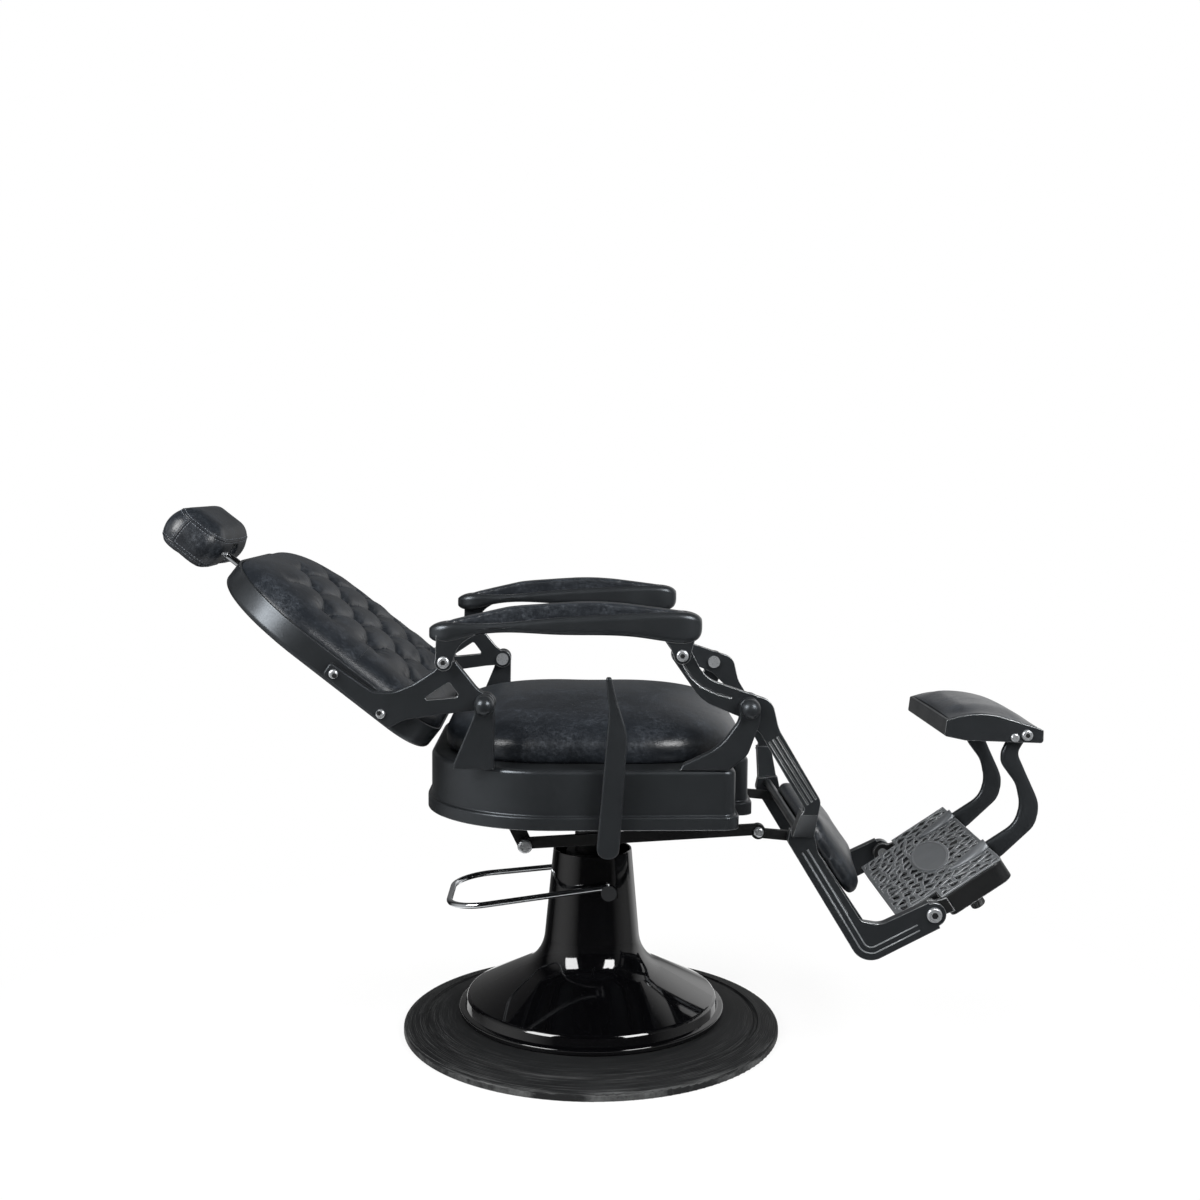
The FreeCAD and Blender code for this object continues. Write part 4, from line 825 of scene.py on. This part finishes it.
# Foot platform from its hinge, in millimetres: rear, front and half width of its two boxes, then the middle and
# half sizes of the oval boss, the leaf ribs and the cells of the openwork
FOOT = dict(origin=(EYE[0], 0.0, EYE[1]), slope=-34.0)
FOOT_TOP = 6.0
FOOT_WIDE = (25.0, 140.0, 185.0)
FOOT_NECK = (-49.0, 45.0, 150.0)
MEDALLION = (57.0, 33.0, 78.0)
RIB_SIDE = 108.0
RIB_RUN = (66.0, 139.0)
RIB_ROWS, RIB_ROUND = 40, 28
OPENWORK_STEP = 1.5
OPENWORK_RISE = 2.9
OPENWORK_THICK = 2.6
CELL_ALONG, CELL_ACROSS = 17.0, 24.0
CELL_STRAY = (5.5, 8.0)
CELL_STRETCH = 1.5


def inside_foot(x, y):
    """Distance in from the platform's outline."""
    return np.maximum(*(np.minimum(np.minimum(x - rear, front - x), half - np.abs(y))
                        for rear, front, half in (FOOT_WIDE, FOOT_NECK)))


def off_medallion(x, y):
    """Distance outwards from the edge of the plain oval boss."""
    middle, along, across = MEDALLION
    share = np.maximum(np.hypot((x - middle) / along, y / across), 0.02)
    return (share - 1) * share / np.maximum(np.hypot((x - middle) / along ** 2, y / across ** 2), 1e-6)


def rib_share(x):
    """Place along a leaf-shaped rib, from 0 to 1."""
    return np.clip((x - RIB_RUN[0]) / (RIB_RUN[1] - RIB_RUN[0]), 0, 1)


def rib_width(x):
    """Half width of a leaf-shaped rib."""
    return 2.0 + 13.0 * np.sin(0.76 * math.pi * rib_share(x))


def openwork(x, y):
    """Solid part of the cast openwork, above zero in the webs: a net of uneven cells round a plain oval."""
    chance = np.random.default_rng(7)
    rows, columns = np.meshgrid(np.arange(-48, 146, CELL_ALONG), np.arange(-190, 191, CELL_ACROSS),
                                indexing="ij")
    columns += CELL_ACROSS / 2 * (np.arange(len(rows)) % 2)[:, None]
    seeds = np.stack([rows, columns], axis=-1).reshape(-1, 2)
    seeds += chance.uniform(-1, 1, seeds.shape) * CELL_STRAY
    # Cells lean outwards, less so in the front part
    lean = np.where(seeds[:, 0] > 60, 0.25, 0.85) * np.sign(seeds[:, 1] + 0.1)
    lean += chance.uniform(-0.5, 0.5, len(seeds))
    c, s = np.cos(lean), np.sin(lean)
    dx, dy = x[..., None] - seeds[:, 0], y[..., None] - seeds[:, 1]
    far = np.sort(np.hypot((dx * c + dy * s) / CELL_STRETCH, dx * s - dy * c), axis=-1)
    gap = far[..., 1] - far[..., 0]
    web = forms().web / MM / 2 - gap / np.maximum(np.hypot(*np.gradient(gap, OPENWORK_STEP)), 0.4)
    rib = np.where(x > RIB_RUN[0] - 4, rib_width(x) + 1.5 - np.abs(np.abs(y) - RIB_SIDE), -9.0)
    inside = inside_foot(x, y)
    return np.minimum(np.max([web, -off_medallion(x, y), rib, 6.0 - inside], axis=0), inside - 1.0)


class CHAIR_OT_openwork(bpy.types.Operator):
    """Lays the cast openwork and the leaf-shaped ribs on the foot platform"""

    bl_idname = "chair.openwork"
    bl_label = "Foot platform"

    def execute(self, context):
        step = OPENWORK_STEP
        x, y = np.meshgrid(np.arange(-50, 141.5, step), np.arange(-187.5, 188, step), indexing="ij")
        solid = openwork(x, y)
        faces = grid_faces(*x.shape, closed=False)
        kept = faces[(solid.ravel()[faces] > 0).all(axis=1)]
        # Points along a cut edge move down the slope of the solid part to where it is zero
        gx, gy = np.gradient(solid, step)
        steep = np.maximum(gx ** 2 + gy ** 2, 0.2)
        shared = np.bincount(kept.ravel(), minlength=x.size).reshape(x.shape)
        move = np.where((shared > 0) & (shared < 4), np.minimum(solid, step * np.sqrt(steep)) / steep, 0)
        # The boss stands up a little, with a raised line inside its edge
        off = off_medallion(x, y)
        rise = 1.2 * ramp(-off, 0.0, 2.0) + 0.7 * np.exp(-((off + 4.5) / 1.3) ** 2)
        points = xyz(x - move * gx, y - move * gy, FOOT_TOP + OPENWORK_RISE + rise).reshape(-1, 3)
        used, index = np.unique(kept, return_inverse=True)
        plate = new_object("foot_openwork", upright(points[used], **FOOT), index.reshape(-1, 4)[:, ::-1],
                           platform_casting)
        thick = plate.modifiers.new("Thick", "SOLIDIFY")
        thick.thickness = OPENWORK_THICK * MM
        thick.offset = -1
        shade(plate, False)
        along = np.linspace(*RIB_RUN, RIB_ROWS)[:, None]
        turn = full_turn(RIB_ROUND)
        lift = (3.5 + 11.0 * rib_share(along)) * np.maximum(np.sin(turn), 0)
        for side, sign in SIDES:
            leaf = xyz(along, sign * RIB_SIDE + rib_width(along) * np.cos(turn), FOOT_TOP + 2.4 + lift)
            rib = new_object(f"foot_rib_{side}", upright(leaf, **FOOT), tube_faces(RIB_ROWS, RIB_ROUND),
                             platform_casting)
            attach(rib, "footboard")
        attach(plate, "footboard")
        return {"FINISHED"}


class CHAIR_OT_seat_cushion(bpy.types.Operator):
    """Makes the smooth crowned seat cushion"""

    bl_idname = "chair.seat_cushion"
    bl_label = "Seat cushion"

    def execute(self, context):
        columns = forms().around // 2
        angle = full_turn(columns)
        c, s = np.cos(angle), np.sin(angle)
        reach = round_reach(lambda x, y: box_inset(x, y, SEAT_HALF, SEAT_ROUND), angle)
        share = np.sin(np.linspace(0, math.pi / 2, SEAT_RINGS))[:, None]
        # The dome is fuller towards front and rear than towards the sides
        across = s ** 2
        dome = (1 - share ** (3 - across)) ** (0.385 + 0.058 * across)
        # Rings of the flat foot, then of the rounded lower edge, then of the dome
        low, high = np.linspace(0, 0.94, 9)[:, None], np.linspace(-0.5 * math.pi, 0, 8)[:, None]
        roll = SEAT_ROLL * (1 + np.sin(high))
        wide = np.concatenate([low, 0.97 + 0.03 * np.cos(high), share[::-1][1:]])
        tall = np.concatenate([np.zeros_like(low), roll, np.zeros_like(share[1:])]) + np.zeros_like(angle)
        tall[len(low) + len(roll):] = SEAT_ROLL + (SEAT_HEIGHT - SEAT_ROLL) * dome[::-1][1:]
        points = xyz(SEAT_MIDDLE + wide * reach * c, wide * reach * s, SEAT_FOOT + tall) * MM
        obj = new_object("seat_leather", points[1:-1], grid_faces(len(points) - 2, columns), distressed_cowhide)
        close_holes(obj)
        upholster(obj, "seat", "seat_cushion")
        return {"FINISHED"}


class CHAIR_OT_back_cushion(bpy.types.Operator):
    """Makes the diamond-tufted back cushion with its covered buttons"""

    bl_idname = "chair.back_cushion"
    bl_label = "Back cushion"

    def execute(self, context):
        obj = self.cushion()
        self.buttons()
        inset = np.linspace(2.0, 74.0, 60)
        along = np.full_like(inset, BORDER_SEAM)
        for side, sign in SIDES:
            across = sign * (BACK_HALF[1] - inset)
            path = xyz(along, across, BACK_FOOT + back_height(along, across))
            sewn_line(obj, upright(path, **BACK), f"back_border_{side}", "back")
        return {"FINISHED"}

    @staticmethod
    def cushion():
        """Tufted cover: rings from the middle to the outline, and fewer rings back along the flat foot."""
        columns = forms().around
        angle = full_turn(columns)
        share = np.sin(np.linspace(0, math.pi / 2, columns // 4))[1:, None]
        reach = round_reach(lambda x, y: back_inset(BACK_MIDDLE + x, y), angle)
        x = BACK_MIDDLE + share * reach * np.cos(angle)
        y = share * reach * np.sin(angle)
        top = xyz(x, y, BACK_FOOT + back_height(x, y))
        foot = xyz(x, y, BACK_FOOT)[::BACK_FOOT_SKIP][1:]
        crown = back_height(np.array(BACK_MIDDLE), np.array(0.0))
        middle = np.array([[BACK_MIDDLE, 0, BACK_FOOT + crown], [BACK_MIDDLE, 0, BACK_FOOT]])
        points = np.concatenate([top.reshape(-1, 3), foot.reshape(-1, 3), middle])
        lines = len(top) + len(foot)
        ring = np.arange(columns)
        ahead = (ring + 1) % columns
        last = (lines - 1) * columns
        obj = new_object("back_leather", upright(points, **BACK),
                         [*grid_faces(lines, columns)[:, ::-1], *xyz(lines * columns, ring, ahead),
                          *xyz(lines * columns + 1, last + ahead, last + ring)], distressed_cowhide)
        upholster(obj, "back", "back_cushion")
        return obj

    @staticmethod
    def buttons():
        """Covered buttons at the crossings of the pleats."""
        row, step = np.meshgrid(np.arange(-5, 5), np.arange(-2, 3), indexing="ij")
        real = (row + step) % 2 == 0
        bx, by = TUFT_START + row[real] * TUFT_ALONG, step[real] * TUFT_ACROSS
        keep = back_inset(bx, by) > forms().border / MM - 10
        bx, by = bx[keep], by[keep]
        profile = np.linspace(0.02, math.pi / 2, BUTTON_ROWS)[:, None]
        turn = full_turn(BUTTON_ROUND)
        wide = forms().button_radius / MM * np.sin(profile)
        dome = xyz(wide * np.cos(turn), wide * np.sin(turn), BUTTON_RISE * np.cos(profile)).reshape(-1, 3)
        lift = xyz(bx, by, BACK_FOOT + back_height(bx, by) + 1.0)
        faces = [face + len(dome) * k for k in range(len(bx)) for face in tube_faces(BUTTON_ROWS, BUTTON_ROUND)]
        made = new_object("back_buttons", upright(lift[:, None] + dome, **BACK), faces, distressed_cowhide)
        attach(made, "back")


# Headrest seams in the back's slope, in millimetres: middle, half sizes, how square they turn, gap at the post
HEAD_MIDDLE = -525.0
HEAD_HALF = (47.0, 107.0)
HEAD_SQUARE = 0.55
HEAD_GAP = 24.0
HEAD_SEAMS = (("head_upper", -84.0), ("head_lower", -132.0))
HEAD_SEWING = dict(rows=(-3.2, 3.2), welt=1.5)


class CHAIR_OT_head_pad(bpy.types.Operator):
    """Makes the headrest pillow with its sewn boxing"""

    bl_idname = "chair.head_pad"
    bl_label = "Headrest"

    def execute(self, context):
        obj = pad_from_solid("head_pad", "head_leather", "head", 0.8 * forms().voxel, forms().pad_swell,
                             lambda at: 1 - ramp(np.abs(at[:, 1]), 24 * MM, 34 * MM))
        turn = np.linspace(0, 2 * math.pi, 400)
        deep, wide = (half * np.sign(wave) * np.abs(wave) ** HEAD_SQUARE
                      for half, wave in zip(HEAD_HALF, (np.cos(turn), np.sin(turn))))
        for name, height in HEAD_SEAMS:
            path = xyz(HEAD_MIDDLE + deep, wide, height)
            path = path[(np.abs(path[:, 1]) > HEAD_GAP) | (path[:, 0] < HEAD_MIDDLE)]
            start = int(np.argmax(np.linalg.norm(np.diff(path, axis=0), axis=1))) + 1
            sewn_line(obj, upright(np.roll(path, -start, axis=0), **BACK), name, "head", **HEAD_SEWING)
        for side, sign in SIDES:
            path = xyz(HEAD_MIDDLE - 20.0, sign * 112.0, np.linspace(-86.0, -131.0, 30))
            sewn_line(obj, upright(path, **BACK), f"head_end_{side}", "head", **HEAD_SEWING)
        return {"FINISHED"}


ARM_MIDDLE = 276.0 * MM


class CHAIR_OT_arm_pads(bpy.types.Operator):
    """Makes the inset pads on the armrests"""

    bl_idname = "chair.arm_pads"
    bl_label = "Armrest pads"

    def execute(self, context):
        for side, sign in SIDES:
            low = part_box(f"armrest_pad_{side}")[0].z
            pad_from_solid(f"armrest_pad_{side}", f"arm_leather_{side}", f"arm_{side}", 0.6 * forms().voxel,
                           0.8 * forms().pad_swell,
                           lambda at: np.maximum(1 - ramp(at[:, 2] - low, 6 * MM, 14 * MM),
                                                 ramp(np.abs(at[:, 1] - sign * ARM_MIDDLE), 16 * MM, 19 * MM)))
        return {"FINISHED"}


CALF_SLOPE = math.radians(56.0)
CALF_PLACE = (330.0 * MM, 388.0 * MM)
# Foot pad from its pivot, in millimetres, and the two lines of its tray's edge: height, slope, start
PAD_PIVOT = (699.0, 0.0, 530.0)
PAD_HALF = 126.0
PAD_CROWN = 3.0
PAD_DROP = 7.0
TRAY_LINES = ((24.0, 0.2909, -131.0), (40.0, -0.3058, -76.0))
TRAY_ROUND = 8.4


class CHAIR_OT_leg_pads(bpy.types.Operator):
    """Makes the calf pad and the foot pad"""

    bl_idname = "chair.leg_pads"
    bl_label = "Calf and foot pads"

    def execute(self, context):
        pad_from_solid("calf_pad", "calf_leather", "legrest", forms().voxel, 1.5 * forms().pad_swell,
                       self.on_panel, drawn_tight=24)
        pad_from_solid("pad_cushion", "foot_pad_leather", "foot_pad", 0.6 * forms().voxel,
                       0.6 * forms().pad_swell, lambda at: ramp(np.abs(at[:, 1]), 112 * MM, 124 * MM),
                       drawn_tight=4, shape=self.drawn_down)
        return {"FINISHED"}

    @staticmethod
    def on_panel(at):
        """Holds the calf pad where it lies on its panel."""
        x, z = at[:, 0] - CALF_PLACE[0], at[:, 2] - CALF_PLACE[1]
        return 1 - ramp(x * math.sin(CALF_SLOPE) + z * math.cos(CALF_SLOPE), 4 * MM, 14 * MM)

    @staticmethod
    def drawn_down(at):
        """Draws the foot pad's cover down to its tray along all edges and crowns it in the middle."""
        x, y, z = (at / MM - PAD_PIVOT).T
        tray = -TRAY_ROUND * np.log(sum(np.exp(-(height + slope * (x - start)) / TRAY_ROUND)
                                        for height, slope, start in TRAY_LINES))
        upper = np.clip((z - tray) / 8.0, 0, 1)
        plain = (1 - ramp(np.abs(y), 70.0, PAD_HALF)) * (1 - ramp(-x, 90.0, 129.0)) * (1 - ramp(x, -20.0, 20.0))
        crown = PAD_CROWN * (1 - (y / PAD_HALF) ** 2)
        return at + xyz(0, 0, upper * (crown - PAD_DROP * (1 - plain))) * MM


CAMERA_PLACE = (-0.0375, -2.4619, 0.9346)
CAMERA_YAW, CAMERA_PITCH, CAMERA_ROLL = 1.0918, 4.6511, 0.4589
CAMERA_LENS = 44.01
STAGE_ROUND = 96
FLAG_REACH = 4.2
# Lamps: place, aim, size and power
LAMPS = {"overhead": ((-0.2, -0.3, 3.2), (0, 0, 0.5), (2.2, 1.4), 70.0),
         "left_softbox": ((-2.0, -1.7, 2.0), (-0.2, 0, 0.6), (1.3, 1.5), 90.0),
         "right_softbox": ((1.7, -1.9, 2.0), (0.3, 0, 0.4), (1.1, 1.2), 70.0),
         "rear_softbox": ((0.6, 2.6, 2.2), (0, 0, 0.6), (1.4, 0.8), 30.0)}
# Stray light on the flag: direction, cosine where it begins, strength
STRAY_LIGHT = (((-0.94, -0.28, 0.2), 0.75, 0.55), ((0.97, -0.05, 0.24), 0.8, 0.3),
               ((0.0, 0.93, 0.37), 0.6, 0.16), ((0.66, 0.66, 0.36), 0.82, 1.0))


class CHAIR_OT_stage(bpy.types.Operator):
    """Sets the floor, lamps, surroundings and camera"""

    bl_idname = "chair.stage"
    bl_label = "Stage"

    def execute(self, context):
        scene = context.scene
        scene.view_settings.view_transform = "Standard"
        self.set_camera(scene)
        turn = full_turn(STAGE_ROUND)
        radius = np.array([0.02, 1.0, 3.0, 9.0])[:, None]
        disc = xyz(radius * np.cos(turn), radius * np.sin(turn), 0)
        faces = [*grid_faces(len(radius), STAGE_ROUND), np.arange(STAGE_ROUND)[::-1]]
        new_object("studio_floor", disc, faces, self.floor_paint)
        self.set_world(scene)
        self.hang_flag()
        for name, (place, aim, size, power) in LAMPS.items():
            lamp = bpy.data.lights.new(name, "AREA")
            lamp.shape = "RECTANGLE"
            lamp.size, lamp.size_y = size
            lamp.energy = power
            obj = bpy.data.objects.new(name, lamp)
            way = Vector(aim) - Vector(place)
            obj.matrix_world = Matrix.LocRotScale(Vector(place), way.to_track_quat("-Z", "Y"), None)
            # Reflections show only the two boxes on the camera's side
            obj.visible_glossy = place[1] < -1
            scene.collection.objects.link(obj)
        return {"FINISHED"}

    @staticmethod
    def set_camera(scene):
        yaw, pitch, roll = (math.radians(a) for a in (CAMERA_YAW, CAMERA_PITCH, CAMERA_ROLL))
        ahead = Vector((math.sin(yaw) * math.cos(pitch), math.cos(yaw) * math.cos(pitch), -math.sin(pitch)))
        right = Vector((math.cos(yaw), -math.sin(yaw), 0))
        above = right.cross(ahead)
        across = right * math.cos(roll) + above * math.sin(roll)
        up = above * math.cos(roll) - right * math.sin(roll)
        camera = bpy.data.objects.new("camera", bpy.data.cameras.new("camera"))
        camera.data.lens = CAMERA_LENS
        camera.data.sensor_width = 36.0
        camera.matrix_world = Matrix.LocRotScale(Vector(CAMERA_PLACE),
                                                 Matrix((across, up, -ahead)).transposed(), None)
        scene.collection.objects.link(camera)
        scene.camera = camera

    @staticmethod
    def set_world(scene):
        """White surroundings to the camera and in reflections, dimmer as light on dull surfaces."""
        scene.world = bpy.data.worlds.new("studio")
        scene.world.use_nodes = True
        tree = scene.world.node_tree
        tree.nodes.clear()
        fill, white = (node(tree, "Background", {"Color": (1, 1, 1, 1), "Strength": strength}).outputs[0]
                       for strength in (0.4, 1.0))
        mixed = node(tree, "MixShader", {0: seen_directly(tree), 1: fill, 2: white})
        node(tree, "OutputWorld", {"Surface": mixed.outputs[0]})
        scene.world.cycles.sampling_method = "NONE"

    def hang_flag(self):
        """Black cloth round and over the chair, seen in reflections only."""
        turn = full_turn(STAGE_ROUND)
        rise = np.radians(np.linspace(8.0, 88.0, 24))
        wide = np.concatenate([[0.5, 1.7, 1.8], FLAG_REACH * np.cos(rise)])[:, None]
        high = np.concatenate([[0.004, 0.004, 0.5], FLAG_REACH * np.sin(rise)])[:, None]
        shell = xyz(wide * np.cos(turn), wide * np.sin(turn), high)
        flag = new_object("black_flag", shell, grid_faces(len(wide), STAGE_ROUND), self.flag_cloth)
        for way in ("camera", "diffuse", "shadow", "transmission", "volume_scatter"):
            setattr(flag, f"visible_{way}", False)

    @staticmethod
    def flag_cloth():
        """Black studio cloth, dull, with stray light on it to both sides and behind."""
        material, tree, shader = new_material("flag_cloth", Roughness=1.0, Base_Color=rgba(looks().flag),
                                              Emission_Color=(1, 1, 1, 1))
        way = node(tree, "VectorMath", {0: object_place(tree)}, operation="NORMALIZE").outputs["Vector"]
        glow = 0.0
        for towards, narrow, strength in STRAY_LIGHT:
            match = vector_maths(tree, "DOT_PRODUCT", way, towards)
            glow = maths(tree, "ADD", spread(tree, match, narrow, most=strength), glow)
        join(tree, shader, Emission_Strength=glow)
        return material

    @staticmethod
    def floor_paint():
        """Matte white studio paint, shown nearly white to the camera and in reflections, with a soft shadow."""
        material, tree, shader = new_material("studio_paint", Roughness=0.9, Base_Color=rgba(looks().floor))
        radius = vector_maths(tree, "LENGTH", object_place(tree))
        part = maths(tree, "MULTIPLY", seen_directly(tree), spread(tree, radius, 0.3, 1.1, 0.86, 1.0))
        glow = node(tree, "Emission", {"Color": (1, 1, 1, 1), "Strength": 1.0})
        mixed = node(tree, "MixShader", {0: part, 1: shader.outputs[0], 2: glow.outputs[0]})
        out = next(n for n in tree.nodes if n.type == "OUTPUT_MATERIAL")
        tree.links.new(mixed.outputs[0], out.inputs["Surface"])
        return material


OPERATORS = (CHAIR_OT_stage, CHAIR_OT_castings, CHAIR_OT_openwork, CHAIR_OT_seat_cushion, CHAIR_OT_back_cushion,
             CHAIR_OT_head_pad, CHAIR_OT_arm_pads, CHAIR_OT_leg_pads)


class CHAIR_PT_sidebar(bpy.types.Panel):
    """Lists the chair's settings and the steps that make it"""

    bl_idname = "CHAIR_PT_sidebar"
    bl_label = "Barber chair"
    bl_space_type = "VIEW_3D"
    bl_region_type = "UI"
    bl_category = "Barber chair"

    def draw(self, context):
        for group in (context.scene.chair_colours, context.scene.chair_forms):
            box = self.layout.box()
            for name in group.__annotations__:
                box.prop(group, name)
        for step in OPERATORS:
            self.layout.operator(step.bl_idname)


CLASSES = (ChairColours, ChairForms, *OPERATORS, CHAIR_PT_sidebar)


def register():
    for item in CLASSES:
        bpy.utils.register_class(item)
    bpy.types.Scene.chair_colours = PointerProperty(type=ChairColours)
    bpy.types.Scene.chair_forms = PointerProperty(type=ChairForms)


def unregister():
    del bpy.types.Scene.chair_forms
    del bpy.types.Scene.chair_colours
    for item in reversed(CLASSES):
        bpy.utils.unregister_class(item)


def main():
    register()
    bpy.ops.chair.stage()
    bpy.ops.chair.castings()
    bpy.ops.chair.openwork()
    bpy.ops.chair.seat_cushion()
    bpy.ops.chair.back_cushion()
    bpy.ops.chair.head_pad()
    bpy.ops.chair.arm_pads()
    bpy.ops.chair.leg_pads()


if __name__ == "__main__":
    main()
